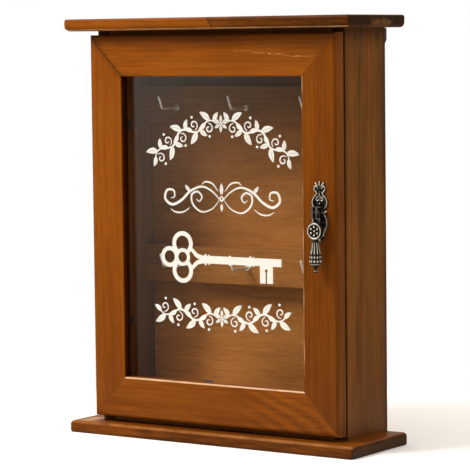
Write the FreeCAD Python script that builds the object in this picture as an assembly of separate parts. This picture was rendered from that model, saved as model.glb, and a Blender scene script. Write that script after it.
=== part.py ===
import FreeCAD, Part
import math
import os

# Wall key cabinet: a shallow pine box with a glazed, mitred door, two hook rails and a cast drop pull.
# Own frame: X to the right, Y towards the wall, Z up. The origin is the centre of the base board's underside.
# All sizes are in millimetres.

V = FreeCAD.Vector

# Carcass and boards
CARCASS_W = 230.0          # over the two side panels
CARCASS_D = 58.0           # front edge to back edge
CARCASS_H = 310.0          # between the base board and the top board
BOARD_T = 9.5              # base board and top board
BOARD_SIDE = 17.25         # how far both boards stand out past the side panels
BOARD_FRONT = 22.5         # how far both boards stand out in front of the carcass
BOARD_CORNER_R = 1.5       # upright corners of the boards
TOP_UPPER_R = 2.0          # top board, upper edge
TOP_LOWER_R = 4.0          # top board, lower edge
BASE_UPPER_R = 3.0         # base board, upper edge
BASE_LOWER_R = 1.5         # base board, lower edge
SIDE_T = 12.0              # side panels
DECK_T = 10.0              # carcass top and bottom panels
BACK_T = 3.0               # back panel
BACK_LAP = 6.0             # rebate in the side panels that takes the back panel

# Hook rails and key hooks
RAIL_T = 12.0
RAIL_H = 29.0
UPPER_RAIL_DOWN = 73.2     # upper rail's underside below the top board
LOWER_RAIL_UP = 108.5      # lower rail's underside above the base board
UPPER_HOOK_RISE = 11.6     # hook shank above the rail underside
LOWER_HOOK_RISE = 14.1
HOOKS_PER_RAIL = 3
HOOK_PITCH = 66.4
HOOK_SHIFT = -2.4          # the rows sit slightly left of centre
HOOK_WIRE_R = 1.15
HOOK_REACH = 20.9          # rail face to the corner of the bend
HOOK_TIP = 11.6            # corner of the bend to the tip
HOOK_LEAN = 26.0           # forward lean of the tip, degrees
HOOK_BEND_R = 2.6
HOOK_COLLAR_R = 2.3
HOOK_COLLAR_T = 1.2
HOOK_THREAD = 9.0          # length screwed into the rail

# Door
DOOR_NARROWER = 1.0        # than the carcass
DOOR_T = 10.5
DOOR_BOTTOM_GAP = 4.2      # above the base board
DOOR_TOP_GAP = 3.2         # below the top board
DOOR_BACK_GAP = 1.8        # between the door and the carcass, filled by the hinge leaves
STILE_W = 30.5
DOOR_RAIL_W = 32.5
DOOR_OUTER_R = 2.5         # outer front edges
DOOR_INNER_R = 1.0         # front edges around the glass
MITRE_GROOVE_W = 0.6       # fine groove along each mitre on the front
MITRE_GROOVE_D = 0.4
GLASS_T = 2.0
GLASS_LAP = 5.0            # rebate width behind the front lip
GLASS_SINK = 0.2           # glass below the door's back face
GLASS_PLAY = 0.5           # all round, in the rebate

# Glass clips
CLIP_W = 8.0
CLIP_LEN = 13.0
CLIP_T = 0.9
CLIP_SHOW = 1.6            # how far a clip reaches past the frame's inner edge
CLIP_UPPER_RISE = 81.0     # side clips above and below the middle of the glass
CLIP_LOWER_DROP = 74.5
CLIP_TOP_X = 3.5
CLIP_BOTTOM_X = -10.5
CLIP_SCREW_R = 1.0
CLIP_SCREW_LEN = 6.0
CLIP_HEAD_R = 2.1
CLIP_HEAD_T = 1.1

# Butt hinges
HINGE_H = 32.0
HINGE_FROM_END = 46.0      # hinge middle from the door's end
LEAF_T = 0.8
LEAF_W = 10.0              # on the wood
KNUCKLE_R = 2.2
KNUCKLE_OUT = 2.9          # knuckle axis outside the side panel
KNUCKLE_GAP = 0.25         # end play between neighbouring knuckles
LEAF_KNUCKLE_GAP = 0.4     # a leaf edge from the other leaf's knuckle
PIN_R = 1.0
PIN_PLAY = 0.05            # radial running clearance in the door knuckle
PIN_CAP_R = 1.7
PIN_CAP_T = 0.8
HINGE_SCREW_R = 0.9
HINGE_SCREW_HEAD_R = 1.7
HINGE_SCREW_LEN = 8.0
HINGE_SCREW_STEP = 10.5    # screws above and below the hinge's middle

# Drop pull
PULL_X_IN = 14.6           # pull centre line from the door's right edge
PLATE_T = 1.2
PIVOT_UP = 173.6           # pivot height above the base board
PIVOT_OUT = 7.0            # in front of the door
POST_W = 5.0
POST_FRONT = 1.7           # block front before the pivot
POST_TOP = 3.7             # block top above the pivot
POST_UNDER = 1.7           # block underside below the pivot
CHEEK_DROP = 5.0           # cheek ends below the pivot
POST_SLOT = 2.4
PIVOT_R = 0.7
PIVOT_PLAY = 0.06
SHANK_R = 1.5
NUT_BORE_R = 4.2
NUT_BORE_D = 3.4
WASHER_R = 3.6
WASHER_T = 0.6
NUT_AF = 5.5
NUT_T = 2.2
TONGUE_T = 1.8
NECK_START = 5.9           # pendant shoulder below the pivot
MEDAL_DROP = 14.2          # medallion centre below the pivot
MEDAL_R = 6.4
MEDAL_T = 2.6
STUD_R = 1.05
STUD_RING_R = 3.4
STUDS = 6

# Magnetic catch
CATCH_W = 9.0
CATCH_D = 12.0
CATCH_H = 30.0
CATCH_ABOVE_CLIP = 29.0    # middle of the catch above the lower side clip
CATCH_SET = 0.8            # housing behind the carcass front
POLE_T = 1.0
MAGNET_W = 4.4
MAGNET_H = 14.0
CATCH_AIR = 0.2            # between the poles and the strike plate
STRIKE_W = 10.0
STRIKE_H = 18.0
STRIKE_T = 1.0

# Hanger plates
HANGER_W = 30.0
HANGER_H = 12.0
HANGER_T = 2.5
HANGER_BELOW_TOP = 0.3
HANGER_CHAMFER = 3.5
KEY_ENTRY_R = 3.0
KEY_SLOT_R = 1.5
KEY_LIFT = 2.6
KEY_BELOW_MIDDLE = 0.3     # keyhole middle below the middle of the carcass top panel
KEY_POCKET_R = 3.2
KEY_POCKET_D = 3.0         # pocket depth in the carcass top panel
HANGER_SCREW_X = 10.5

# Fasteners
PIN_NAIL_R = 0.8
SIDE_NAIL_SHARE = 0.72      # pin height in the thickness of the top and bottom panels
SIDE_NAIL_LEN = 26.0
SIDE_NAIL_Y = (14.0, 45.0)  # behind the carcass front
BACK_NAIL_R = 0.7
BACK_NAIL_LEN = 10.0
WOOD_SCREW_R = 1.75
WOOD_SCREW_HEAD_R = 3.5
WOOD_SCREW_LEN = 16.0
SMALL_SCREW_R = 1.25
SMALL_SCREW_HEAD_R = 2.5
SMALL_SCREW_LEN = 11.0

# Derived positions
BOARD_W = CARCASS_W + 2 * BOARD_SIDE
BOARD_D = CARCASS_D + BOARD_FRONT
Y_BACK = BOARD_D / 2
Y_FRONT = Y_BACK - CARCASS_D
Z_BASE = BOARD_T
Z_TOP = BOARD_T + CARCASS_H
X_SIDE = CARCASS_W / 2
DOOR_W = CARCASS_W - DOOR_NARROWER
X_IN = X_SIDE - SIDE_T
Y_PANEL = Y_BACK - BACK_T
Y_RAIL = Y_PANEL - RAIL_T
UPPER_RAIL_Z = CARCASS_H - UPPER_RAIL_DOWN
DOOR_YB = Y_FRONT - DOOR_BACK_GAP
DOOR_YF = DOOR_YB - DOOR_T
DOOR_Z0 = Z_BASE + DOOR_BOTTOM_GAP
DOOR_Z1 = Z_TOP - DOOR_TOP_GAP
DOOR_X = DOOR_W / 2
GLASS_YB = DOOR_YB - GLASS_SINK
GLASS_YF = GLASS_YB - GLASS_T
GLASS_X = DOOR_X - STILE_W
GLASS_Z0 = DOOR_Z0 + DOOR_RAIL_W
GLASS_Z1 = DOOR_Z1 - DOOR_RAIL_W
GLASS_ZM = (GLASS_Z0 + GLASS_Z1) / 2
CATCH_Z = GLASS_ZM - CLIP_LOWER_DROP + CATCH_ABOVE_CLIP
HINGE_X = -X_SIDE - KNUCKLE_OUT
HINGE_Y = Y_FRONT - DOOR_BACK_GAP / 2
HINGE_ZS = (DOOR_Z1 - HINGE_FROM_END, DOOR_Z0 + HINGE_FROM_END)
PULL_X = DOOR_X - PULL_X_IN
PULL_Y = DOOR_YF - PIVOT_OUT
PULL_Z = Z_BASE + PIVOT_UP
PLATE_Y = DOOR_YF - PLATE_T
HANGER_Z1 = Z_TOP - HANGER_BELOW_TOP
HANGER_Z0 = HANGER_Z1 - HANGER_H
HANGER_X = X_SIDE - HANGER_W / 2
KEY_Z = Z_TOP - DECK_T / 2 - KEY_BELOW_MIDDLE


def box(x0, x1, y0, y1, z0, z1):
    """Plain block between two corners."""
    return Part.makeBox(x1 - x0, y1 - y0, z1 - z0, V(x0, y0, z0))


def rod(radius, start, axis, length):
    """Round bar from a start point along an axis."""
    return Part.makeCylinder(radius, length, start, axis)


def prism_y(points, y0, y1):
    """Outline given as (x, z) points, drawn out from y0 to y1."""
    corners = [V(x, y0, z) for x, z in points]
    face = Part.Face(Part.makePolygon(corners + [corners[0]]))
    return face.extrude(V(0, y1 - y0, 0))


def round_edges(shape, radius, test):
    """Round each edge whose middle point passes the test."""
    chosen = []
    for edge in shape.Edges:
        middle = edge.valueAt((edge.FirstParameter + edge.LastParameter) / 2)
        if test(middle):
            chosen.append(edge)
    return shape.makeFillet(radius, chosen)


def screw(start, axis, shank_r, head_r, length):
    """Countersunk screw whose flat head lies at the start point."""
    head_h = min(head_r - shank_r, length / 3)
    head = Part.makeCone(head_r, shank_r, head_h, start, axis)
    return head.fuse(rod(shank_r, start, axis, length)).removeSplitter()


def group(shapes):
    """Separate solids kept under one name."""
    return Part.makeCompound(shapes)


def wood_screw_spots():
    """Screw places shared by the base board and the top board."""
    spots = []
    for sx in (-1, 1):
        for y in (Y_FRONT + CARCASS_D / 4, Y_BACK - CARCASS_D / 4):
            spots.append((sx * CARCASS_W / 3, y))
    return spots


def base_screw_solids():
    """Screws driven up through the base board into the carcass bottom panel."""
    return [screw(V(x, y, 0), V(0, 0, 1), WOOD_SCREW_R, WOOD_SCREW_HEAD_R, WOOD_SCREW_LEN)
            for x, y in wood_screw_spots()]


def top_screw_solids():
    """Screws driven up from inside, through the carcass top panel into the top board."""
    return [screw(V(x, y, Z_TOP - DECK_T), V(0, 0, 1), WOOD_SCREW_R, WOOD_SCREW_HEAD_R, WOOD_SCREW_LEN)
            for x, y in wood_screw_spots()]


def rounded_board(z0, lower_r, upper_r):
    """Board with rounded front and end edges and a square back edge."""
    board = box(-BOARD_W / 2, BOARD_W / 2, -BOARD_D / 2, Y_BACK, z0, z0 + BOARD_T)
    mid = z0 + BOARD_T / 2
    board = round_edges(board, BOARD_CORNER_R, lambda p: p.y < 1 - BOARD_D / 2 and abs(p.z - mid) < 1
                        and abs(p.x) > BOARD_W / 2 - 1)
    board = round_edges(board, upper_r, lambda p: p.z > z0 + BOARD_T - 0.1 and p.y < Y_BACK - 1)
    return round_edges(board, lower_r, lambda p: p.z < z0 + 0.1 and p.y < Y_BACK - 1)


def base_board():
    """Board the cabinet stands on."""
    return rounded_board(0, BASE_LOWER_R, BASE_UPPER_R).cut(group(base_screw_solids()))


def top_board():
    """Board over the carcass."""
    return rounded_board(Z_TOP, TOP_LOWER_R, TOP_UPPER_R).cut(group(top_screw_solids()))


def side_nail_solids():
    """Panel pins through the side panels into the ends of the top and bottom panels."""
    nails = []
    for sx in (-1, 1):
        for z in (Z_BASE + DECK_T * SIDE_NAIL_SHARE, Z_TOP - DECK_T * SIDE_NAIL_SHARE):
            for back in SIDE_NAIL_Y:
                nails.append(rod(PIN_NAIL_R, V(sx * X_SIDE, Y_FRONT + back, z), V(-sx, 0, 0), SIDE_NAIL_LEN))
    return nails


def back_nail_solids():
    """Panel pins through the back panel's edges."""
    spots = []
    for step in range(4):
        z = Z_BASE + CARCASS_H * (0.16 + 0.226 * step)
        spots.append((-X_IN - BACK_LAP / 2, z))
        spots.append((X_IN + BACK_LAP / 2, z))
    for x in (-CARCASS_W / 5, 0, CARCASS_W / 5):
        spots.append((x, Z_BASE + DECK_T / 2))
        spots.append((x, Z_TOP - DECK_T / 2))
    return [rod(BACK_NAIL_R, V(x, Y_BACK, z), V(0, -1, 0), BACK_NAIL_LEN) for x, z in spots]


def rail_screw_solids():
    """Screws from behind that hold the hook rails."""
    screws = []
    for z in (UPPER_RAIL_Z, LOWER_RAIL_UP):
        for sx in (-1, 1):
            start = V(sx * CARCASS_W / 3, Y_BACK, Z_BASE + z + RAIL_H / 2)
            screws.append(screw(start, V(0, -1, 0), SMALL_SCREW_R, SMALL_SCREW_HEAD_R, SMALL_SCREW_LEN))
    return screws


def hinge_screw_solids(on_door):
    """Countersunk screws of both hinges, for the door leaves or the cabinet leaves."""
    y = DOOR_YB + LEAF_T if on_door else Y_FRONT - LEAF_T
    axis = V(0, -1, 0) if on_door else V(0, 1, 0)
    x = -X_SIDE + LEAF_W / 2
    return [screw(V(x, y, z + s * HINGE_SCREW_STEP), axis, HINGE_SCREW_R, HINGE_SCREW_HEAD_R, HINGE_SCREW_LEN)
            for z in HINGE_ZS for s in (-1, 1)]


def catch_screw_solids():
    """Screws through the catch housing into the right side panel."""
    y = Y_FRONT + CATCH_SET + CATCH_D / 2
    step = CATCH_H / 2 - 4
    return [screw(V(X_IN - CATCH_W / 2, y, CATCH_Z + s * step), V(1, 0, 0), SMALL_SCREW_R,
                  SMALL_SCREW_HEAD_R, SMALL_SCREW_LEN) for s in (-1, 1)]


def hanger_screw_solids():
    """Screws that hold the two hanger plates."""
    screws = []
    for sx in (-1, 1):
        for s in (-1, 1):
            start = V(sx * HANGER_X + s * HANGER_SCREW_X, Y_BACK + HANGER_T, HANGER_Z0 + HANGER_H / 2)
            screws.append(screw(start, V(0, -1, 0), SMALL_SCREW_R, SMALL_SCREW_HEAD_R, SMALL_SCREW_LEN))
    return screws


def side_panel(sign):
    """Upright side panel with the rebate for the back panel."""
    xs = sorted((sign * X_SIDE, sign * X_IN))
    panel = box(xs[0], xs[1], Y_FRONT, Y_BACK, Z_BASE, Z_TOP)
    rb = sorted((sign * X_IN, sign * (X_IN + BACK_LAP)))
    panel = panel.cut(box(rb[0], rb[1], Y_PANEL, Y_BACK, Z_BASE, Z_TOP))
    holes = side_nail_solids() + back_nail_solids() + hanger_screw_solids()
    holes += hinge_screw_solids(False) if sign < 0 else catch_screw_solids()
    return panel.cut(group(holes))


def key_pockets():
    """Hollows behind the hanger plates that take the heads of the wall screws."""
    pockets = []
    for sx in (-1, 1):
        for lift in (0, KEY_LIFT):
            start = V(sx * HANGER_X, Y_PANEL - KEY_POCKET_D, KEY_Z - KEY_LIFT / 2 + lift)
            pockets.append(rod(KEY_POCKET_R, start, V(0, 1, 0), KEY_POCKET_D + BACK_T))
        x = sx * HANGER_X
        pockets.append(box(x - KEY_POCKET_R, x + KEY_POCKET_R, Y_PANEL - KEY_POCKET_D, Y_BACK,
                           KEY_Z - KEY_LIFT / 2, KEY_Z + KEY_LIFT / 2))
    return pockets


def deck(z0, screws):
    """Horizontal carcass panel between the side panels."""
    panel = box(-X_IN, X_IN, Y_FRONT, Y_PANEL, z0, z0 + DECK_T)
    cuts = side_nail_solids() + back_nail_solids() + hanger_screw_solids() + screws
    return panel.cut(group(cuts)).cut(group(key_pockets()))


def back_panel():
    """Thin panel in the rebates, behind the hook rails."""
    x = X_IN + BACK_LAP
    panel = box(-x, x, Y_PANEL, Y_BACK, Z_BASE, Z_TOP)
    for solid in back_nail_solids() + rail_screw_solids() + hanger_screw_solids():
        panel = panel.cut(solid)
    for solid in key_pockets():
        panel = panel.cut(solid)
    return panel


def hook_xs():
    """Places of the hooks along a rail."""
    first = HOOK_SHIFT - HOOK_PITCH * (HOOKS_PER_RAIL - 1) / 2
    return [first + HOOK_PITCH * i for i in range(HOOKS_PER_RAIL)]


def hook_rail(z_above_base, hook_rise):
    """Batten across the back that carries the hooks."""
    z0 = Z_BASE + z_above_base
    rail = box(-X_IN, X_IN, Y_RAIL, Y_PANEL, z0, z0 + RAIL_H)
    rail = round_edges(rail, 0.6, lambda p: p.y < Y_RAIL + 0.1 and abs(p.x) < 1)
    for x in hook_xs():
        rail = rail.cut(rod(HOOK_WIRE_R, V(x, Y_RAIL, z0 + hook_rise), V(0, 1, 0), HOOK_THREAD))
    return rail.cut(group(rail_screw_solids()))


def key_hook(x, z):
    """Bent brass screw hook with a round collar."""
    turn = math.radians(90 - HOOK_LEAN)
    tangent = HOOK_BEND_R * math.tan(turn / 2)
    straight = HOOK_REACH - tangent
    p0 = V(x, Y_RAIL + HOOK_THREAD, z)
    p1 = V(x, Y_RAIL - straight, z)
    mid = V(x, p1.y - HOOK_BEND_R * math.sin(turn / 2), z + HOOK_BEND_R * (1 - math.cos(turn / 2)))
    p2 = V(x, p1.y - HOOK_BEND_R * math.sin(turn), z + HOOK_BEND_R * (1 - math.cos(turn)))
    rise = V(0, -math.cos(turn), math.sin(turn))
    p3 = p2 + rise * (HOOK_TIP - tangent - HOOK_WIRE_R)
    path = Part.Wire([Part.makeLine(p0, p1), Part.Arc(p1, mid, p2).toShape(), Part.makeLine(p2, p3)])
    ring = Part.Wire(Part.makeCircle(HOOK_WIRE_R, p0, V(0, 1, 0)))
    wire = path.makePipeShell([ring], True, True)
    tip = Part.makeSphere(HOOK_WIRE_R, p3)
    collar = rod(HOOK_COLLAR_R, V(x, Y_RAIL, z), V(0, -1, 0), HOOK_COLLAR_T)
    return wire.fuse([tip, collar]).removeSplitter()


def door_profile(across, along0, along1, place):
    """Moulded section drawn out along a frame member; place turns (u, y, along) into a point."""
    w = across
    r_out = DOOR_OUTER_R
    r_in = DOOR_INNER_R
    s = math.sqrt(0.5)

    def at(u, y):
        return place(u, y, along0)

    edges = [
        Part.makeLine(at(0, DOOR_YB), at(0, DOOR_YF + r_out)),
        Part.Arc(at(0, DOOR_YF + r_out), at(r_out - r_out * s, DOOR_YF + r_out - r_out * s),
                 at(r_out, DOOR_YF)).toShape(),
        Part.makeLine(at(r_out, DOOR_YF), at(w - r_in, DOOR_YF)),
        Part.Arc(at(w - r_in, DOOR_YF), at(w - r_in + r_in * s, DOOR_YF + r_in - r_in * s),
                 at(w, DOOR_YF + r_in)).toShape(),
        Part.makeLine(at(w, DOOR_YF + r_in), at(w, GLASS_YF)),
        Part.makeLine(at(w, GLASS_YF), at(w - GLASS_LAP, GLASS_YF)),
        Part.makeLine(at(w - GLASS_LAP, GLASS_YF), at(w - GLASS_LAP, DOOR_YB)),
        Part.makeLine(at(w - GLASS_LAP, DOOR_YB), at(0, DOOR_YB)),
    ]
    face = Part.Face(Part.Wire(edges))
    return face.extrude(place(0, 0, along1) - place(0, 0, along0))


def mitre_block(points):
    """Wedge-ended block that gives a frame member its mitred ends."""
    return prism_y(points, DOOR_YF - 1, DOOR_YB + 1)


def mitre_grooves():
    """V-shaped grooves along the four mitres on the door's front."""
    grooves = []
    for sx in (-1, 1):
        for z_out, z_in in ((DOOR_Z0, GLASS_Z0), (DOOR_Z1, GLASS_Z1)):
            start = V(sx * DOOR_X, DOOR_YF, z_out)
            run = V(sx * GLASS_X, DOOR_YF, z_in) - start
            side = V(run.z, 0, -run.x)
            side.normalize()
            half = side * (MITRE_GROOVE_W / 2)
            lift = V(0, -0.01, 0)
            corners = [start + half + lift, start + V(0, MITRE_GROOVE_D, 0), start - half + lift]
            face = Part.Face(Part.makePolygon(corners + [corners[0]]))
            grooves.append(face.extrude(run))
    return grooves


def door_stile(sign):
    """Upright door member; the mitres run from outer corner to inner corner."""
    bar = door_profile(STILE_W, DOOR_Z0, DOOR_Z1, lambda u, y, a: V(sign * (DOOR_X - u), y, a))
    x0 = sign * DOOR_X
    x1 = sign * GLASS_X
    bar = bar.common(mitre_block([(x0, DOOR_Z0), (x1, GLASS_Z0), (x1, GLASS_Z1), (x0, DOOR_Z1)]))
    bar = bar.cut(group(mitre_grooves()))
    if sign < 0:
        holes = hinge_screw_solids(True)
    else:
        holes = [rod(SHANK_R, V(PULL_X, DOOR_YF, PULL_Z), V(0, 1, 0), DOOR_T)]
        holes.append(rod(NUT_BORE_R, V(PULL_X, DOOR_YB - NUT_BORE_D, PULL_Z), V(0, 1, 0), NUT_BORE_D))
        holes += plate_pin_solids() + [strike_screw()]
    return bar.cut(group(holes)).cut(group(clip_screw_solids()))


def door_rail(top):
    """Horizontal door member."""
    edge = DOOR_Z1 if top else DOOR_Z0
    way = -1 if top else 1
    bar = door_profile(DOOR_RAIL_W, -DOOR_X, DOOR_X, lambda u, y, a: V(a, y, edge + way * u))
    inner = edge + way * DOOR_RAIL_W
    bar = bar.common(mitre_block([(-DOOR_X, edge), (-GLASS_X, inner), (GLASS_X, inner), (DOOR_X, edge)]))
    return bar.cut(group(clip_screw_solids())).cut(group(mitre_grooves()))


def glass_pane():
    """Flat pane held in the rebate."""
    lap = GLASS_LAP - GLASS_PLAY
    return box(-GLASS_X - lap, GLASS_X + lap, GLASS_YF, GLASS_YB, GLASS_Z0 - lap, GLASS_Z1 + lap)


def clip_places():
    """Inner-edge points and outward directions of the six glass clips."""
    places = []
    for z in (GLASS_ZM + CLIP_UPPER_RISE, GLASS_ZM - CLIP_LOWER_DROP):
        places.append((-GLASS_X, z, -1, 0))
        places.append((GLASS_X, z, 1, 0))
    places.append((CLIP_TOP_X, GLASS_Z1, 0, 1))
    places.append((CLIP_BOTTOM_X, GLASS_Z0, 0, -1))
    return places


def clip_screw_solids():
    """Round-headed screws of the glass clips."""
    solids = []
    back = CLIP_LEN - CLIP_SHOW - CLIP_W / 2
    for x, z, dx, dz in clip_places():
        foot = V(x + dx * back, DOOR_YB, z + dz * back)
        shank = rod(CLIP_SCREW_R, foot + V(0, CLIP_T, 0), V(0, -1, 0), CLIP_SCREW_LEN)
        head = rod(CLIP_HEAD_R, foot + V(0, CLIP_T, 0), V(0, 1, 0), CLIP_HEAD_T)
        head = round_edges(head, CLIP_HEAD_T * 0.6, lambda p: p.y > DOOR_YB + CLIP_T + CLIP_HEAD_T - 0.05)
        solids.append(shank.fuse(head).removeSplitter())
    return solids


def glass_clips():
    """Six small steel tabs that hold the pane from behind."""
    tabs = []
    half = CLIP_W / 2
    for x, z, dx, dz in clip_places():
        tip = V(x - dx * CLIP_SHOW, DOOR_YB, z - dz * CLIP_SHOW)
        body = CLIP_LEN - half
        across = V(dz, 0, -dx)
        out = V(dx, 0, dz)
        corners = [tip + across * half, tip + across * half + out * body,
                   tip - across * half + out * body, tip - across * half]
        tab = Part.Face(Part.makePolygon(corners + [corners[0]])).extrude(V(0, CLIP_T, 0))
        tab = tab.fuse(rod(half, tip + out * body, V(0, 1, 0), CLIP_T)).removeSplitter()
        tabs.append(tab.cut(group(clip_screw_solids())))
    return group(tabs)


def knuckle_spans(zc, on_door):
    """Heights of the knuckles of one leaf: the door leaf has the middle third."""
    third = HINGE_H / 3
    z0 = zc - HINGE_H / 2
    if on_door:
        return [(z0 + third + KNUCKLE_GAP, z0 + 2 * third - KNUCKLE_GAP)]
    return [(z0, z0 + third), (z0 + 2 * third, z0 + HINGE_H)]


def hinge_leaf(zc, on_door):
    """One leaf of a butt hinge with its knuckles."""
    y0 = DOOR_YB if on_door else Y_FRONT - LEAF_T
    y1 = y0 + LEAF_T
    leaf = box(HINGE_X + KNUCKLE_R + LEAF_KNUCKLE_GAP, -X_SIDE + LEAF_W, y0, y1, zc - HINGE_H / 2,
               zc + HINGE_H / 2)
    for z0, z1 in knuckle_spans(zc, on_door):
        leaf = leaf.fuse(box(HINGE_X, -X_SIDE + 1, y0, y1, z0, z1))
        leaf = leaf.fuse(rod(KNUCKLE_R, V(HINGE_X, HINGE_Y, z0), V(0, 0, 1), z1 - z0))
    bore_r = PIN_R + PIN_PLAY if on_door else PIN_R
    leaf = leaf.cut(rod(bore_r, V(HINGE_X, HINGE_Y, zc - HINGE_H), V(0, 0, 1), 2 * HINGE_H))
    return leaf.removeSplitter().cut(group(hinge_screw_solids(on_door)))


def hinge_pins():
    """Fixed pins with small caps, held in the cabinet leaves."""
    pins = []
    for zc in HINGE_ZS:
        low = V(HINGE_X, HINGE_Y, zc - HINGE_H / 2)
        pin = rod(PIN_R, low, V(0, 0, 1), HINGE_H)
        pin = pin.fuse(rod(PIN_CAP_R, low, V(0, 0, -1), PIN_CAP_T))
        pins.append(pin.fuse(rod(PIN_CAP_R, low + V(0, 0, HINGE_H), V(0, 0, 1), PIN_CAP_T)))
    return group(pins)


def catch_box(w, y0, y1, h):
    """Block centred on the catch's middle line."""
    x = X_IN - CATCH_W / 2
    z = CATCH_Z
    return box(x - w / 2, x + w / 2, y0, y1, z - h / 2, z + h / 2)


def catch_front():
    """Front face of the pole plates."""
    return DOOR_YB + STRIKE_T + CATCH_AIR


def catch_housing():
    """Moulded body of the magnetic catch, open at the front."""
    y0 = Y_FRONT + CATCH_SET
    body = catch_box(CATCH_W, y0, y0 + CATCH_D, CATCH_H)
    body = body.cut(catch_box(MAGNET_W + 2 * POLE_T, y0, y0 + CATCH_D - 2, MAGNET_H))
    x = X_IN - CATCH_W
    for sign in (-1, 1):
        z = CATCH_Z + sign * CATCH_H / 2
        zs = sorted((z, z - sign * 8))
        body = body.cut(box(x, x + CATCH_W / 2, y0, y0 + CATCH_D, zs[0], zs[1]))
    return body.cut(group(catch_screw_solids()))


def catch_magnet():
    """Magnet block between the pole plates."""
    return catch_box(MAGNET_W, Y_FRONT + CATCH_SET, Y_FRONT + CATCH_SET + CATCH_D - 2, MAGNET_H)


def catch_poles():
    """Two steel plates that stand just proud of the housing."""
    plates = catch_box(MAGNET_W + 2 * POLE_T, catch_front(), Y_FRONT + CATCH_SET + CATCH_D - 2, MAGNET_H)
    plates = plates.cut(catch_box(MAGNET_W, catch_front() - 1, Y_BACK, MAGNET_H))
    return group(plates.Solids)


def strike_screw():
    """Countersunk screw through the strike plate."""
    start = V(X_IN - CATCH_W / 2, DOOR_YB + STRIKE_T, CATCH_Z)
    return screw(start, V(0, -1, 0), SMALL_SCREW_R, SMALL_SCREW_HEAD_R * 0.8, 8.0)


def strike_plate():
    """Steel plate on the door that the magnet pulls."""
    x = X_IN - CATCH_W / 2
    z = CATCH_Z
    plate = box(x - STRIKE_W / 2, x + STRIKE_W / 2, DOOR_YB, DOOR_YB + STRIKE_T, z - STRIKE_H / 2,
                z + STRIKE_H / 2)
    plate = round_edges(plate, 1.5, lambda p: abs(abs(p.x - x) - STRIKE_W / 2) < 0.1
                        and abs(abs(p.z - z) - STRIKE_H / 2) < 0.1)
    return plate.cut(strike_screw())


def disc_y(x, z, rx, rz, y0, y1):
    """Oval plate facing the front."""
    if abs(rx - rz) < 0.01:
        return rod(rx, V(x, y0, z), V(0, 1, 0), y1 - y0)
    major, minor = max(rx, rz), min(rx, rz)
    oval = Part.Ellipse(V(0, 0, 0), major, minor).toShape()
    face = Part.Face(Part.Wire(oval))
    face.rotate(V(0, 0, 0), V(1, 0, 0), 90)
    if rz > rx:
        face.rotate(V(0, 0, 0), V(0, 1, 0), 90)
    face.translate(V(x, y0, z))
    return face.extrude(V(0, y1 - y0, 0))


def plate_pin_solids():
    """Two round-headed pins that hold the backplate."""
    pins = []
    for dz in (14.6, -18.2):
        start = V(PULL_X, PLATE_Y, PULL_Z + dz)
        head = Part.makeSphere(0.9, start)
        head = head.common(box(PULL_X - 2, PULL_X + 2, PLATE_Y - 2, PLATE_Y, PULL_Z + dz - 2, PULL_Z + dz + 2))
        pins.append(head.fuse(rod(0.45, start, V(0, 1, 0), 7.0)).removeSplitter())
    return pins


def pull_backplate():
    """Pierced cast plate: an upper and a lower leaf lobe joined by a waist with side spurs."""
    y0, y1 = PLATE_Y, DOOR_YF
    x, z = PULL_X, PULL_Z
    parts = [disc_y(x, z + 9.3, 6.3, 7.8, y0, y1), disc_y(x, z - 8.2, 6.5, 8.6, y0, y1)]
    parts.append(box(x - 3.0, x + 3.0, y0, y1, z - 5, z + 5))
    parts.append(prism_y([(x - 7.0, z + 0.4), (x, z + 2.2), (x + 7.0, z + 0.4), (x, z - 1.4)], y0, y1))
    parts.append(prism_y([(x - 5.2, z - 12), (x + 5.2, z - 12), (x + 1.2, z - 22.6), (x - 1.2, z - 22.6)], y0, y1))
    for s in (-1, 1):
        parts.append(disc_y(x + s * 3.1, z + 17.6, 1.9, 1.9, y0, y1))
        parts.append(disc_y(x + s * 1.9, z + 20.2, 0.9, 1.7, y0, y1))
        parts.append(disc_y(x + s * 3.4, z - 17.6, 1.1, 1.1, y0, y1))
    parts.append(disc_y(x, z + 19.4, 1.0, 3.0, y0, y1))
    plate = parts[0].fuse(parts[1:]).removeSplitter()
    holes = [rod(SHANK_R, V(x, y0 - 1, z), V(0, 1, 0), PLATE_T + 2)]
    for s in (-1, 1):
        holes.append(disc_y(x + s * 3.2, z + 10.6, 1.1, 2.0, y0 - 1, y1 + 1))
        holes.append(disc_y(x + s * 3.6, z - 8.0, 1.0, 2.6, y0 - 1, y1 + 1))
    return plate.cut(group(holes)).cut(group(plate_pin_solids()))


def pull_post():
    """Slotted block that carries the pendant, with a threaded shank through the stile."""
    x, z = PULL_X, PULL_Z
    block = box(x - POST_W / 2, x + POST_W / 2, PULL_Y - POST_FRONT, PLATE_Y, z - POST_UNDER, z + POST_TOP)
    block = block.fuse(box(x - POST_W / 2, x + POST_W / 2, PULL_Y - POST_FRONT, PULL_Y + POST_FRONT,
                           z - CHEEK_DROP, z)).removeSplitter()
    block = block.cut(box(x - POST_SLOT / 2, x + POST_SLOT / 2, PULL_Y - 5, PLATE_Y - 1.2, z - 6, z + 5))
    block = block.fuse(rod(SHANK_R, V(x, PLATE_Y, z), V(0, 1, 0), DOOR_T + PLATE_T - 0.3))
    return block.cut(rod(PIVOT_R, V(x - POST_W, PULL_Y, z), V(1, 0, 0), 2 * POST_W))


def pull_washer():
    """Washer in the counterbore."""
    ring = rod(WASHER_R, V(PULL_X, DOOR_YB - NUT_BORE_D, PULL_Z), V(0, 1, 0), WASHER_T)
    return ring.cut(rod(SHANK_R, V(PULL_X, DOOR_YB - NUT_BORE_D, PULL_Z), V(0, 1, 0), WASHER_T))


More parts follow.
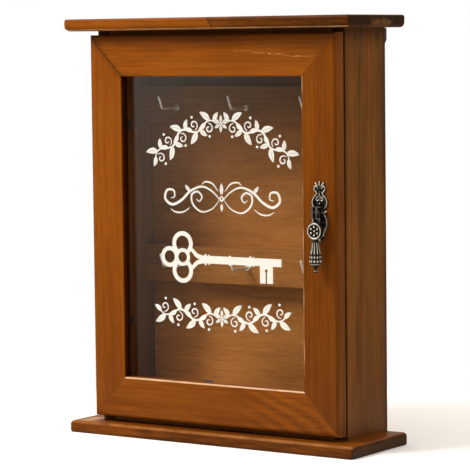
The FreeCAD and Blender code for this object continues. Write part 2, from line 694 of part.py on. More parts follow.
def pull_nut():
    """Hexagon nut on the shank."""
    y0 = DOOR_YB - NUT_BORE_D + WASHER_T
    radius = NUT_AF / 2 / math.cos(math.pi / 6)
    points = [(PULL_X + radius * math.cos(math.pi / 3 * i), PULL_Z + radius * math.sin(math.pi / 3 * i))
              for i in range(6)]
    return prism_y(points, y0, y0 + NUT_T).cut(rod(SHANK_R, V(PULL_X, y0 - 1, PULL_Z), V(0, 1, 0), 9))


def pull_pivot():
    """Pin across the slotted block."""
    return rod(PIVOT_R, V(PULL_X - POST_W / 2, PULL_Y, PULL_Z), V(1, 0, 0), POST_W)


def pendant_core():
    """Turned part below the medallion: a flared, fluted bell, bead rings and a ball finial."""
    top = -NECK_START
    profile = [(0.0, top), (1.6, top), (1.9, top - 1.6), (2.0, -20.5), (2.6, -21.5), (3.2, -27.0),
               (4.0, -31.8), (4.6, -32.4), (4.6, -34.6), (4.3, -35.0), (5.0, -35.5), (5.0, -37.6), (4.1, -38.1),
               (4.1, -39.4), (2.6, -40.2), (1.6, -41.6), (1.2, -42.8), (0.0, -42.8)]
    points = [V(r, 0, d) for r, d in profile]
    face = Part.Face(Part.makePolygon(points + [points[0]]))
    solid = face.revolve(V(0, 0, 0), V(0, 0, 1), 360)
    for i in range(10):
        turn = 2 * math.pi * i / 10
        start = V(3.0 * math.cos(turn), 3.0 * math.sin(turn), -21.8)
        end = V(4.6 * math.cos(turn), 4.6 * math.sin(turn), -31.6)
        solid = solid.cut(rod(0.55, start, end - start, (end - start).Length))
    return solid.fuse(Part.makeSphere(1.75, V(0, 0, -43.8)))


def pull_pendant():
    """Hanging drop: tongue, studded round medallion and turned bell."""
    tongue = box(-TONGUE_T / 2, TONGUE_T / 2, -1.6, 1.6, -NECK_START - 1, 0)
    tongue = tongue.fuse(rod(1.6, V(-TONGUE_T / 2, 0, 0), V(1, 0, 0), TONGUE_T))
    medal = rod(MEDAL_R, V(0, -MEDAL_T / 2, -MEDAL_DROP), V(0, 1, 0), MEDAL_T)
    rim = Part.makeTorus(MEDAL_R - 0.6, 0.7, V(0, -MEDAL_T / 2, -MEDAL_DROP), V(0, 1, 0))
    studs = [Part.makeSphere(STUD_R, V(0, -MEDAL_T / 2, -MEDAL_DROP))]
    for i in range(STUDS):
        turn = 2 * math.pi * i / STUDS
        spot = V(STUD_RING_R * math.sin(turn), -MEDAL_T / 2, -MEDAL_DROP + STUD_RING_R * math.cos(turn))
        studs.append(Part.makeSphere(STUD_R, spot))
    drop = tongue.fuse([pendant_core(), medal, rim] + studs)
    drop = drop.cut(rod(PIVOT_R + PIVOT_PLAY, V(-5, 0, 0), V(1, 0, 0), 10))
    drop.translate(V(PULL_X, PULL_Y, PULL_Z))
    return drop.removeSplitter()


def hanger_plate(sign):
    """Black steel plate with a keyhole, level with the side panel's outer face."""
    outer = sign * X_SIDE
    inner = sign * (X_SIDE - HANGER_W)
    c = HANGER_CHAMFER
    outline = [(inner, HANGER_Z1), (inner, HANGER_Z0 + c), (inner + sign * c, HANGER_Z0),
               (outer - sign * c * 0.4, HANGER_Z0), (outer, HANGER_Z0 + c), (outer, HANGER_Z1)]
    plate = prism_y(outline, Y_BACK, Y_BACK + HANGER_T)
    x = sign * HANGER_X
    z_low, z_high = KEY_Z - KEY_LIFT / 2, KEY_Z + KEY_LIFT / 2
    plate = plate.cut(rod(KEY_ENTRY_R, V(x, Y_BACK, z_low), V(0, 1, 0), HANGER_T))
    plate = plate.cut(rod(KEY_SLOT_R, V(x, Y_BACK, z_high), V(0, 1, 0), HANGER_T))
    plate = plate.cut(box(x - KEY_SLOT_R, x + KEY_SLOT_R, Y_BACK, Y_BACK + HANGER_T, z_low, z_high))
    return plate.cut(group(hanger_screw_solids()))


def all_parts():
    """Every sub-part under its own name."""
    parts = {
        "base_board": base_board(),
        "top_board": top_board(),
        "left_side_panel": side_panel(-1),
        "right_side_panel": side_panel(1),
        "carcass_top_panel": deck(Z_TOP - DECK_T, top_screw_solids()),
        "carcass_bottom_panel": deck(Z_BASE, base_screw_solids()),
        "back_panel": back_panel(),
        "upper_hook_rail": hook_rail(UPPER_RAIL_Z, UPPER_HOOK_RISE),
        "lower_hook_rail": hook_rail(LOWER_RAIL_UP, LOWER_HOOK_RISE),
        "side_panel_pins": group(side_nail_solids()),
        "back_panel_pins": group(back_nail_solids()),
        "base_board_screws": group(base_screw_solids()),
        "top_board_screws": group(top_screw_solids()),
        "hook_rail_screws": group(rail_screw_solids()),
        "left_hanger_plate": hanger_plate(-1),
        "right_hanger_plate": hanger_plate(1),
        "hanger_plate_screws": group(hanger_screw_solids()),
        "upper_hinge_cabinet_leaf": hinge_leaf(HINGE_ZS[0], False),
        "lower_hinge_cabinet_leaf": hinge_leaf(HINGE_ZS[1], False),
        "upper_hinge_door_leaf": hinge_leaf(HINGE_ZS[0], True),
        "lower_hinge_door_leaf": hinge_leaf(HINGE_ZS[1], True),
        "hinge_pins": hinge_pins(),
        "hinge_cabinet_screws": group(hinge_screw_solids(False)),
        "hinge_door_screws": group(hinge_screw_solids(True)),
        "catch_housing": catch_housing(),
        "catch_magnet": catch_magnet(),
        "catch_pole_plates": catch_poles(),
        "catch_screws": group(catch_screw_solids()),
        "strike_plate": strike_plate(),
        "strike_plate_screw": strike_screw(),
        "door_left_stile": door_stile(-1),
        "door_right_stile": door_stile(1),
        "door_top_rail": door_rail(True),
        "door_bottom_rail": door_rail(False),
        "glass_pane": glass_pane(),
        "glass_clips": glass_clips(),
        "glass_clip_screws": group(clip_screw_solids()),
        "pull_backplate": pull_backplate(),
        "pull_plate_pins": group(plate_pin_solids()),
        "pull_post": pull_post(),
        "pull_washer": pull_washer(),
        "pull_nut": pull_nut(),
        "pull_pivot_pin": pull_pivot(),
        "pull_pendant": pull_pendant(),
    }
    for name, z, rise in (("upper", UPPER_RAIL_Z, UPPER_HOOK_RISE), ("lower", LOWER_RAIL_UP, LOWER_HOOK_RISE)):
        for i, x in enumerate(hook_xs()):
            parts[f"{name}_key_hook_{i + 1}"] = key_hook(x, Z_BASE + z + rise)
    return parts


os.makedirs("parts", exist_ok=True)
for node, shape in all_parts().items():
    shape.exportStep(f"parts/{node}.step")
    print(node, round(shape.Volume, 1), len(shape.Solids), shape.isValid())
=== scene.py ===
import logging
import math
from dataclasses import dataclass, field
from enum import Enum
from typing import Any, Callable, Iterable, Optional, Sequence

import bmesh
import bpy
import numpy as np
from mathutils import Matrix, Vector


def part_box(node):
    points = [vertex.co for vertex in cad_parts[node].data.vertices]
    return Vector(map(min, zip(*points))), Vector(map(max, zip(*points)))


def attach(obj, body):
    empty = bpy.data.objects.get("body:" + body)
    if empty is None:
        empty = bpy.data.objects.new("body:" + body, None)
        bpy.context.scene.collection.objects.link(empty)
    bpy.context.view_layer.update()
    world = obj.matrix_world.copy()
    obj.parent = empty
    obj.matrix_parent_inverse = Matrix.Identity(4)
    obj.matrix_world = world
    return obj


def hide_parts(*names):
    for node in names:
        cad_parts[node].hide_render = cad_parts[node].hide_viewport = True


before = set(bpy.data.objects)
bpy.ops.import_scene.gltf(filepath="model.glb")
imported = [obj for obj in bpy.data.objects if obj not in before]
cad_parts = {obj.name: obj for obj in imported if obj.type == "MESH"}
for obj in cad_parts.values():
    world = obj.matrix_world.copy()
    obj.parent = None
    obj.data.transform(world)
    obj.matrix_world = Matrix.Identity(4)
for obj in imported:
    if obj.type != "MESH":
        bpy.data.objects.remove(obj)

# Looks of a wall key cabinet in stained pine with a glazed door. Metres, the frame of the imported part.

LOG = logging.getLogger("key_cabinet")
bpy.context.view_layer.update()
MM = 0.001
Color = tuple[float, float, float]


class GrainAxis(Enum):
    """The way the fibres of a board run."""

    ALONG_X = "x"
    ALONG_Z = "z"


# ---------------------------------------------------------------------------------------------
# Shader building
# ---------------------------------------------------------------------------------------------


class Graph:
    """Short hand for adding and linking nodes in one node tree."""

    def __init__(self, tree: bpy.types.NodeTree) -> None:
        """Keeps the tree.

        Args:
            tree: the node tree that nodes are added to.
        """
        self.tree = tree

    def node(self, kind: str, inputs: Optional[dict[Any, Any]] = None, **props: Any) -> bpy.types.Node:
        """Adds a node, sets its properties and fills or links its inputs.

        Args:
            kind: Blender's node type name.
            inputs: socket name or number, to a value or to another node's output.
            props: attributes of the node itself.

        Returns:
            The new node.
        """
        made = self.tree.nodes.new(kind)
        for name, value in props.items():
            setattr(made, name, value)
        for key, value in (inputs or {}).items():
            self.feed(made.inputs[key], value)
        return made

    def feed(self, socket: bpy.types.NodeSocket, value: Any) -> None:
        """Links an output to the socket, or stores a plain value on it.

        Args:
            socket: the input to fill.
            value: an output to link, or a plain value.
        """
        if isinstance(value, bpy.types.NodeSocket):
            self.tree.links.new(value, socket)
        elif isinstance(value, tuple) and len(value) == 3 and socket.type == "RGBA":
            socket.default_value = (*value, 1.0)
        else:
            socket.default_value = value

    def math(self, operation: str, a: Any, b: Any = 0.0, clamp: bool = False) -> bpy.types.NodeSocket:
        """Adds a Math node and returns its output."""
        made = self.node("ShaderNodeMath", {0: a, 1: b}, operation=operation, use_clamp=clamp)
        return made.outputs[0]

    def times(self, a: Any, b: Any) -> bpy.types.NodeSocket:
        """Multiplies two values."""
        return self.math("MULTIPLY", a, b)

    def plus(self, a: Any, b: Any) -> bpy.types.NodeSocket:
        """Adds two values."""
        return self.math("ADD", a, b)

    def less(self, a: Any, b: Any, clamp: bool = False) -> bpy.types.NodeSocket:
        """Takes the second value from the first."""
        return self.math("SUBTRACT", a, b, clamp)

    def split(self, vector: Any) -> Any:
        """Splits a vector into its X, Y and Z outputs."""
        return self.node("ShaderNodeSeparateXYZ", {0: vector}).outputs

    def remap(self, value: Any, low: float, high: float, to_low: float = 0.0, to_high: float = 1.0,
              smooth: bool = True) -> bpy.types.NodeSocket:
        """Adds a clamped Map Range node and returns its output.

        Args:
            value: the value to send to the new range.
            low: start of the range.
            high: end of the range.
            to_low: result at the start.
            to_high: result at the end.
            smooth: whether the ends are eased.

        Returns:
            The result.
        """
        made = self.node(
            "ShaderNodeMapRange",
            {"Value": value, "From Min": low, "From Max": high, "To Min": to_low, "To Max": to_high},
            interpolation_type="SMOOTHSTEP" if smooth else "LINEAR",
        )
        return made.outputs["Result"]

    def mix(self, factor: Any, a: Any, b: Any, blend: str = "MIX") -> bpy.types.NodeSocket:
        """Adds a colour Mix node and returns its colour output.

        Args:
            factor: share of the second colour.
            a: first colour.
            b: second colour.
            blend: Blender's name of the blend.

        Returns:
            The mixed colour.
        """
        made = self.node("ShaderNodeMix", data_type="RGBA", blend_type=blend)
        self.feed(made.inputs[0], factor)
        self.feed(made.inputs[6], a)
        self.feed(made.inputs[7], b)
        return made.outputs[2]

    def noise(self, vector: Any, scale: float, detail: float = 2.0,
              rough: float = 0.5) -> bpy.types.NodeSocket:
        """Adds a 3-D Noise node and returns its factor.

        Args:
            vector: where it is read.
            scale: size of the pattern, as waves in a metre.
            detail: number of finer layers.
            rough: strength of each finer layer over the last.

        Returns:
            The noise's value.
        """
        made = self.node("ShaderNodeTexNoise", {"Vector": vector, "Scale": scale, "Detail": detail,
                                                "Roughness": rough})
        return made.outputs["Fac"]

    def stretch(self, vector: Any, scale: Sequence[float]) -> bpy.types.NodeSocket:
        """Multiplies a vector by a scale for each axis and returns the result."""
        made = self.node("ShaderNodeVectorMath", {0: vector, 1: tuple(scale)}, operation="MULTIPLY")
        return made.outputs[0]


class GroupKit:
    """Shader node groups that several finishes share; each is built once."""

    made: dict[str, bpy.types.NodeTree] = {}

    @classmethod
    def start(cls, name: str, ins: dict[str, Any], outs: dict[str, str]) -> tuple[Graph, Any, Any]:
        """Makes an empty group with its sockets.

        Args:
            name: the group's name.
            ins: input name to a default; a tuple makes a vector socket, None a bare vector, else a float.
            outs: output name to a socket kind.

        Returns:
            The graph, the group's input node and its output node.
        """
        tree = bpy.data.node_groups.new(name, "ShaderNodeTree")
        for key, default in ins.items():
            kind = "NodeSocketVector" if default is None else "NodeSocketFloat"
            socket = tree.interface.new_socket(name=key, in_out="INPUT", socket_type=kind)
            if default is not None:
                socket.default_value = default
        for key, kind in outs.items():
            tree.interface.new_socket(name=key, in_out="OUTPUT", socket_type=kind)
        graph = Graph(tree)
        entry = graph.node("NodeGroupInput")
        leave = graph.node("NodeGroupOutput")
        cls.made[name] = tree
        return graph, entry.outputs, leave.inputs

    @classmethod
    def pine_grain(cls) -> bpy.types.NodeTree:
        """Growth rings, fibres and pores of a sawn pine board.

        The fibres run along the vector's X. The ring value is the distance from the pith line, bent by
        a slow noise that is long along the fibres, divided by the ring spacing; each ring darkens
        towards its late wood and drops back at its edge. Fibres and pores are noises stretched along X.

        Returns:
            The node group.
        """
        if "pine_grain" in cls.made:
            return cls.made["pine_grain"]
        ins = {"Vector": None, "Pith Y": 0.05, "Pith Z": 0.05, "Ring Spacing": 0.003, "Wobble": 0.006}
        outs = {"Ring": "NodeSocketFloat", "Fibre": "NodeSocketFloat", "Pore": "NodeSocketFloat",
                "Cloud": "NodeSocketFloat", "Streak": "NodeSocketFloat", "Height": "NodeSocketFloat"}
        g, ent, out = cls.start("pine_grain", ins, outs)
        vector = ent["Vector"]
        parts = g.split(vector)
        dy = g.less(parts[1], ent["Pith Y"])
        dz = g.less(parts[2], ent["Pith Z"])
        radius = g.math("SQRT", g.plus(g.times(dy, dy), g.times(dz, dz)))
        slow = g.noise(g.stretch(vector, (5.5, 26.0, 26.0)), 1.0, 2.0, 0.45)
        bend = g.times(g.less(slow, 0.5), ent["Wobble"])
        small = g.noise(g.stretch(vector, (22.0, 260.0, 260.0)), 1.0, 2.0, 0.5)
        fine = g.times(g.less(small, 0.5), g.times(ent["Wobble"], 0.16))
        rings = g.math("DIVIDE", g.plus(g.plus(radius, bend), fine), ent["Ring Spacing"])
        phase = g.math("FRACT", rings)
        late = g.math("POWER", phase, 2.2)
        drop = g.remap(phase, 0.86, 1.0, 1.0, 0.0)
        cloud = g.noise(g.stretch(vector, (9.0, 34.0, 34.0)), 1.0, 3.0, 0.55)
        strength = g.remap(cloud, 0.3, 0.7, 0.45, 1.0)
        ring = g.times(g.times(late, drop), strength)
        sway = g.times(bend, 0.8)
        bent = g.node("ShaderNodeCombineXYZ", {0: parts[0], 1: g.plus(parts[1], sway),
                                               2: g.plus(parts[2], sway)}).outputs[0]
        streak = g.noise(g.stretch(bent, (8.0, 330.0, 330.0)), 1.0, 3.0, 0.55)
        fibre = g.noise(g.stretch(vector, (46.0, 1500.0, 1500.0)), 1.0, 3.0, 0.6)
        dashes = g.noise(g.stretch(vector, (210.0, 2300.0, 2300.0)), 1.0, 1.0, 0.4)
        pore = g.remap(dashes, 0.66, 0.74)
        rise = g.plus(g.times(ring, 0.5), g.times(fibre, 0.5))
        g.feed(out["Ring"], ring)
        g.feed(out["Fibre"], fibre)
        g.feed(out["Pore"], pore)
        g.feed(out["Cloud"], cloud)
        g.feed(out["Streak"], streak)
        g.feed(out["Height"], g.less(rise, g.times(pore, 0.6)))
        return g.tree

    @classmethod
    def edge_wear_and_sheen(cls) -> bpy.types.NodeTree:
        """Mask of edges, from how far the normal turns within a small radius, broken up by a noise. Metals
        use it for rubbed edges; the wood uses it for rubbed edges together with a painted highlight.

        Returns:
            The node group.
        """
        if "edge_wear_and_sheen" in cls.made:
            return cls.made["edge_wear_and_sheen"]
        g, ent, out = cls.start("edge_wear_and_sheen", {"Vector": None, "Radius": 0.001, "Breakup": 0.4},
                                {"Mask": "NodeSocketFloat"})
        round_normal = g.node("ShaderNodeBevel", {"Radius": ent["Radius"]}, samples=4).outputs[0]
        true_normal = g.node("ShaderNodeNewGeometry").outputs["True Normal"]
        dot = g.node("ShaderNodeVectorMath", {0: round_normal, 1: true_normal}, operation="DOT_PRODUCT")
        turn = g.remap(dot.outputs["Value"], 0.995, 0.75)
        patch = g.noise(ent["Vector"], 320.0, 3.0, 0.6)
        keep = g.less(1.0, g.times(ent["Breakup"], g.remap(patch, 0.4, 0.6)))
        g.feed(out["Mask"], g.times(turn, keep))
        return g.tree

    @classmethod
    def fine_scuffs(cls) -> bpy.types.NodeTree:
        """Short scratches and soft smudges: two noises stretched along different axes, and a soft one.

        Returns:
            The node group.
        """
        if "fine_scuffs" in cls.made:
            return cls.made["fine_scuffs"]
        g, ent, out = cls.start("fine_scuffs", {"Vector": None},
                                {"Scratch": "NodeSocketFloat", "Smudge": "NodeSocketFloat"})
        first = g.noise(g.stretch(ent["Vector"], (180.0, 4200.0, 2600.0)), 1.0, 1.0)
        second = g.noise(g.stretch(ent["Vector"], (3600.0, 3000.0, 160.0)), 1.0, 1.0)
        lines = g.math("MAXIMUM", g.remap(first, 0.62, 0.72), g.remap(second, 0.64, 0.74))
        g.feed(out["Scratch"], lines)
        g.feed(out["Smudge"], g.noise(ent["Vector"], 90.0, 4.0, 0.6))
        return g.tree


def new_material(name: str) -> tuple[bpy.types.Material, Graph, bpy.types.Node, bpy.types.Node]:
    """Makes an empty node material with a Principled shader.

    Args:
        name: the material's name.

    Returns:
        The material, its graph, the Principled node and the output node.
    """
    material = bpy.data.materials.new(name)
    material.use_nodes = True
    material.node_tree.nodes.clear()
    graph = Graph(material.node_tree)
    shader = graph.node("ShaderNodeBsdfPrincipled")
    output = graph.node("ShaderNodeOutputMaterial")
    graph.feed(output.inputs["Surface"], shader.outputs[0])
    return material, graph, shader, output


def use_group(graph: Graph, tree: bpy.types.NodeTree, inputs: dict[str, Any]) -> Any:
    """Places a shared group in a material and returns its outputs.

    Args:
        graph: the material's graph.
        tree: the shared group.
        inputs: values for the group's inputs.

    Returns:
        The group's outputs.
    """
    made = graph.node("ShaderNodeGroup", node_tree=tree)
    for key, value in inputs.items():
        graph.feed(made.inputs[key], value)
    return made.outputs


@dataclass(frozen=True)
class StainedPine:
    """Orange-brown stain and satin varnish over pine."""

    name: str
    axis: GrainAxis
    light: Color = (0.310, 0.082, 0.0040)
    dark: Color = (0.130, 0.028, 0.0010)
    cloud_tint: Color = (0.225, 0.053, 0.0020)
    # colour of the lightened edges: rubbing and a painted highlight
    worn_and_sheen: Color = (0.48, 0.19, 0.035)
    pith: tuple[float, float] = (0.060, 0.075)
    spacing: float = 0.0032
    wobble: float = 0.010
    roughness: float = 0.40
    shift: tuple[float, float, float] = (0.0, 0.0, 0.0)
    tone: float = 1.0
    figure: float = 1.0
    side_tint: Optional[Color] = None
    marks: Optional[Callable[[Graph, Any, Any], Any]] = None

    def material(self) -> bpy.types.Material:
        """Builds the finish.

        Returns:
            The material.
        """
        material, g, shader, _ = new_material(self.name)
        place = g.node("ShaderNodeTexCoord").outputs["Object"]
        turned = {
            GrainAxis.ALONG_X: (0.0, 0.0, 0.0),
            GrainAxis.ALONG_Z: (0.0, math.pi / 2, 0.0),
        }[self.axis]
        along = g.node("ShaderNodeMapping", {"Vector": place, "Location": self.shift, "Rotation": turned},
                       vector_type="POINT").outputs[0]
        grain = use_group(g, GroupKit.pine_grain(), {
            "Vector": along, "Pith Y": self.pith[0], "Pith Z": self.pith[1],
            "Ring Spacing": self.spacing, "Wobble": self.wobble})
        wear_and_sheen = use_group(g, GroupKit.edge_wear_and_sheen(), {"Vector": place, "Radius": 0.0011, "Breakup": 0.5})
        light, dark, tint = (tuple(c * self.tone for c in stain)
                             for stain in (self.light, self.dark, self.cloud_tint))
        colour = g.mix(g.remap(grain["Cloud"], 0.35, 0.7, 0.0, 0.75), light, tint)
        colour = g.mix(g.times(grain["Ring"], 0.50 * self.figure), colour, dark)
        deep = 0.20 * self.figure
        streak = g.times(g.remap(grain["Fibre"], 0.3, 0.75, 0.78, 1.18, smooth=False),
                        g.remap(grain["Streak"], 0.28, 0.72, 1.0 - deep, 1.0 + deep, smooth=False))
        grey = g.node("ShaderNodeCombineColor", {0: streak, 1: streak, 2: streak}).outputs[0]
        colour = g.mix(1.0, colour, grey, "MULTIPLY")
        colour = g.mix(g.times(grain["Pore"], 0.42), colour, dark)
        if self.side_tint is not None:
            normal = g.split(g.node("ShaderNodeTexCoord").outputs["Normal"])
            ends = g.remap(g.math("ABSOLUTE", normal[0]), 0.60, 0.90)
            # faces turned to X take the side tint: on board ends it is end grain taking up more stain; on the
            # left stile it is painted shade beside the glass; on the right stile it lightens the outer edge
            soaked_and_shaded = g.mix(1.0, colour, self.side_tint, "MULTIPLY")
            colour = g.mix(ends, colour, soaked_and_shaded)
        if self.marks is not None:
            colour = self.marks(g, place, colour)
        # convex edges are lightened: partly rubbing, partly a painted highlight for the varnish's sheen on
        # rounded edges
        colour = g.mix(g.times(wear_and_sheen["Mask"], 0.5), colour, self.worn_and_sheen)
        g.feed(shader.inputs["Base Color"], colour)
        rough = g.remap(grain["Fibre"], 0.3, 0.7, self.roughness - 0.05, self.roughness + 0.09)
        g.feed(shader.inputs["Roughness"], g.plus(rough, g.times(grain["Pore"], 0.12)))
        shader.inputs["Specular IOR Level"].default_value = 0.07
        bump = g.node("ShaderNodeBump", {"Height": grain["Height"], "Strength": 0.32, "Distance": 0.00022})
        g.feed(shader.inputs["Normal"], bump.outputs[0])
        return material


@dataclass(frozen=True)
class Metal:
    """A metal finish with scuffs, smudges and brighter rubbed edges."""

    name: str
    base: Color
    rubbed: Color
    roughness: float = 0.35
    metallic: float = 1.0
    wear_radius: float = 0.0005
    wear_and_sheen: float = 0.8
    rub_attribute: bool = False
    dull: Color = (0.02, 0.015, 0.01)
    dulling: float = 0.5

    def material(self) -> bpy.types.Material:
        """Builds the finish.

        Returns:
            The material.
        """
        material, g, shader, _ = new_material(self.name)
        place = g.node("ShaderNodeTexCoord").outputs["Object"]
        scuffs = use_group(g, GroupKit.fine_scuffs(), {"Vector": place})
        if self.rub_attribute:
            wear_and_sheen = g.node("ShaderNodeAttribute", attribute_name="rub").outputs["Fac"]
            wear_and_sheen = g.remap(wear_and_sheen, 0.42, 0.95)
        else:
            wear_and_sheen = use_group(g, GroupKit.edge_wear_and_sheen(), {"Vector": place, "Radius": self.wear_radius,
                                                       "Breakup": 0.5})["Mask"]
        tarnish = g.remap(scuffs["Smudge"], 0.35, 0.7, 0.0, self.dulling)
        colour = g.mix(tarnish, self.base, self.dull)
        colour = g.mix(g.times(wear_and_sheen, self.wear_and_sheen), colour, self.rubbed)
        colour = g.mix(g.times(scuffs["Scratch"], 0.2), colour, self.rubbed)
        g.feed(shader.inputs["Base Color"], colour)
        g.feed(shader.inputs["Metallic"], g.less(self.metallic, g.times(wear_and_sheen, 0.5), clamp=True))
        rough = g.remap(scuffs["Smudge"], 0.3, 0.7, self.roughness, self.roughness + 0.18)
        g.feed(shader.inputs["Roughness"], g.less(rough, g.times(wear_and_sheen, 0.1), clamp=True))
        bump = g.node("ShaderNodeBump", {"Height": scuffs["Scratch"], "Strength": 0.15, "Distance": 0.00004})
        g.feed(shader.inputs["Normal"], bump.outputs[0])
        return material


@dataclass(frozen=True)
class Speckled:
    """A dull moulded or pressed surface: plastic, ferrite or printed ink."""

    name: str
    base: Color
    speck: Color
    scale: float = 900.0
    roughness: float = 0.55
    relief: float = 0.00005

    def material(self) -> bpy.types.Material:
        """Builds the finish.

        Returns:
            The material.
        """
        material, g, shader, _ = new_material(self.name)
        place = g.node("ShaderNodeTexCoord").outputs["Object"]
        grit = g.noise(place, self.scale, 3.0, 0.65)
        patches = g.noise(place, self.scale / 14.0, 3.0, 0.5)
        colour = g.mix(g.remap(grit, 0.45, 0.7, 0.0, 0.6), self.base, self.speck)
        colour = g.mix(g.remap(patches, 0.45, 0.75, 0.0, 0.35), colour, self.speck)
        g.feed(shader.inputs["Base Color"], colour)
        rough = g.remap(patches, 0.3, 0.7, self.roughness - 0.06, self.roughness + 0.1)
        g.feed(shader.inputs["Roughness"], rough)
        bump = g.node("ShaderNodeBump", {"Height": grit, "Strength": 0.3, "Distance": self.relief})
        g.feed(shader.inputs["Normal"], bump.outputs[0])
        return material


@dataclass(frozen=True)
class SheetGlass:
    """Clear sheet glass with faint waviness; lamps shine through it."""

    name: str = "sheet_glass"

    def material(self) -> bpy.types.Material:
        """Builds the finish.

        Returns:
            The material.
        """
        material, g, shader, output = new_material(self.name)
        place = g.node("ShaderNodeTexCoord").outputs["Object"]
        film = g.noise(place, 24.0, 3.0, 0.55)
        tint = g.mix(g.remap(film, 0.3, 0.7), (0.97, 0.985, 0.98), (0.93, 0.95, 0.94))
        g.feed(shader.inputs["Base Color"], tint)
        shader.inputs["Transmission Weight"].default_value = 1.0
        shader.inputs["IOR"].default_value = 1.5
        g.feed(shader.inputs["Roughness"], g.remap(film, 0.3, 0.7, 0.0, 0.004))
        wave = g.noise(place, 7.0, 0.0)
        bump = g.node("ShaderNodeBump", {"Height": wave, "Strength": 0.02, "Distance": 0.0002})
        g.feed(shader.inputs["Normal"], bump.outputs[0])
        clear = g.node("ShaderNodeBsdfTransparent", {0: (0.92, 0.94, 0.93)})
        lamp = g.node("ShaderNodeLightPath").outputs["Is Shadow Ray"]
        both = g.node("ShaderNodeMixShader", {0: lamp, 1: shader.outputs[0], 2: clear.outputs[0]})
        g.feed(output.inputs["Surface"], both.outputs[0])
        return material


# ---------------------------------------------------------------------------------------------
# Mesh building
# ---------------------------------------------------------------------------------------------


class MeshBag:
    """Collects surfaces as arrays and turns them into one mesh object."""

    def __init__(self) -> None:
        """Starts empty."""
        self.points: list[np.ndarray] = []
        self.faces: list[list[tuple[int, ...]]] = []
        self.rub: list[np.ndarray] = []
        self.count = 0

    def add(self, points: np.ndarray, faces: Iterable[Sequence[int]],
            rub: Optional[np.ndarray] = None) -> None:
        """Adds one surface.

        Args:
            points: (N, 3) places in metres.
            faces: corner numbers of each face, counted within this surface.
            rub: how rubbed each point is, 0 to 1.
        """
        shifted = [tuple(int(i) + self.count for i in face) for face in faces]
        self.points.append(points)
        self.faces.append(shifted)
        self.rub.append(np.zeros(len(points)) if rub is None else rub)
        self.count += len(points)

    def build(self, name: str, body: str, slot: str, material: bpy.types.Material,
              smooth: bool = True) -> bpy.types.Object:
        """Makes the object, dresses it and lets it ride.

        Args:
            name: the piece's name.
            body: the CAD body it moves with.
            slot: the record's material slot; not used.
            material: its finish.
            smooth: whether its faces are shaded smooth.

        Returns:
            The new object.
        """
        mesh = bpy.data.meshes.new(name)
        mesh.from_pydata(np.concatenate(self.points).tolist(), [], [f for part in self.faces for f in part])
        mesh.validate()
        shell = bmesh.new()
        shell.from_mesh(mesh)
        bmesh.ops.recalc_face_normals(shell, faces=shell.faces)
        shell.to_mesh(mesh)
        shell.free()
        mesh.polygons.foreach_set("use_smooth", np.full(len(mesh.polygons), smooth))
        rub = mesh.attributes.new("rub", "FLOAT", "POINT")
        rub.data.foreach_set("value", np.concatenate(self.rub).astype(np.float32))
        mesh.materials.append(material)
        mesh.update()
        piece = bpy.data.objects.new(name, mesh)
        bpy.context.scene.collection.objects.link(piece)
        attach(piece, body)
        LOG.info("%s: %d points, %d faces, rides on %s", name, len(mesh.vertices), len(mesh.polygons), body)
        return piece


def grid_faces(rows: int, cols: int, wrap_rows: bool = False) -> np.ndarray:
    """Quads of a grid of points stored row by row; the last column always joins the first.

    Args:
        rows: number of rows.
        cols: points in a row.
        wrap_rows: whether the last row joins the first.

    Returns:
        (N, 4) corner numbers.
    """
    r = np.arange(rows if wrap_rows else rows - 1)[:, None]
    c = np.arange(cols)[None, :]
    r2, c2 = (r + 1) % rows, (c + 1) % cols
    quads = np.stack(np.broadcast_arrays(r * cols + c, r * cols + c2, r2 * cols + c2, r2 * cols + c), -1)
    return quads.reshape(-1, 4)


def smooth_path(points: Sequence[Sequence[float]], per_span: int = 10) -> np.ndarray:
    """Catmull-Rom curve through the points: on each span the cubic that meets both ends with the slope
    between the neighbouring points.

    Args:
        points: (N, D) points the curve passes through.
        per_span: samples in a span.

    Returns:
        (M, D) samples.
    """
    p = np.asarray(points, float)
    padded = np.concatenate([[2 * p[0] - p[1]], p, [2 * p[-1] - p[-2]]])
    t = np.linspace(0.0, 1.0, per_span, endpoint=False)[None, :, None]
    a, b, c, d = (padded[i:len(p) - 1 + i][:, None, :] for i in range(4))
    curve = 0.5 * (2 * b + (c - a) * t + (2 * a - 5 * b + 4 * c - d) * t**2 + (3 * b - a - 3 * c + d) * t**3)
    return np.concatenate([curve.reshape(-1, p.shape[1]), p[-1:]])


def side_of(path: np.ndarray) -> np.ndarray:
    """Unit normals of a flat path, a quarter turn left of its direction.

    Args:
        path: (N, 2) points.

    Returns:
        (N, 2) normals.
    """
    run = np.gradient(path, axis=0)
    run /= np.maximum(np.linalg.norm(run, axis=1, keepdims=True), 1e-12)
    return np.stack([-run[:, 1], run[:, 0]], 1)


def flat_band(bag: MeshBag, left: np.ndarray, right: np.ndarray, y_front: float, y_back: float,
              closed: bool = False) -> None:
    """Thin closed solid between two edge lines: four corners at each station, joined station to station.

    Args:
        bag: where the surface goes.
        left: (N, 2) edge line in X and Z.
        right: (N, 2) edge line in X and Z.
        y_front: front plane.
        y_back: back plane.
        closed: whether the last station joins the first.
    """
    n = len(left)
    ring = np.empty((n, 4, 3))
    ring[:, 0, [0, 2]], ring[:, 1, [0, 2]] = left, right
    ring[:, 2, [0, 2]], ring[:, 3, [0, 2]] = right, left
    ring[:, :2, 1], ring[:, 2:, 1] = y_front, y_back
    faces = grid_faces(n, 4, wrap_rows=closed).tolist()
    if not closed:
        faces += [[3, 2, 1, 0], [4 * n - 4, 4 * n - 3, 4 * n - 2, 4 * n - 1]]
    bag.add(ring.reshape(-1, 3), faces)


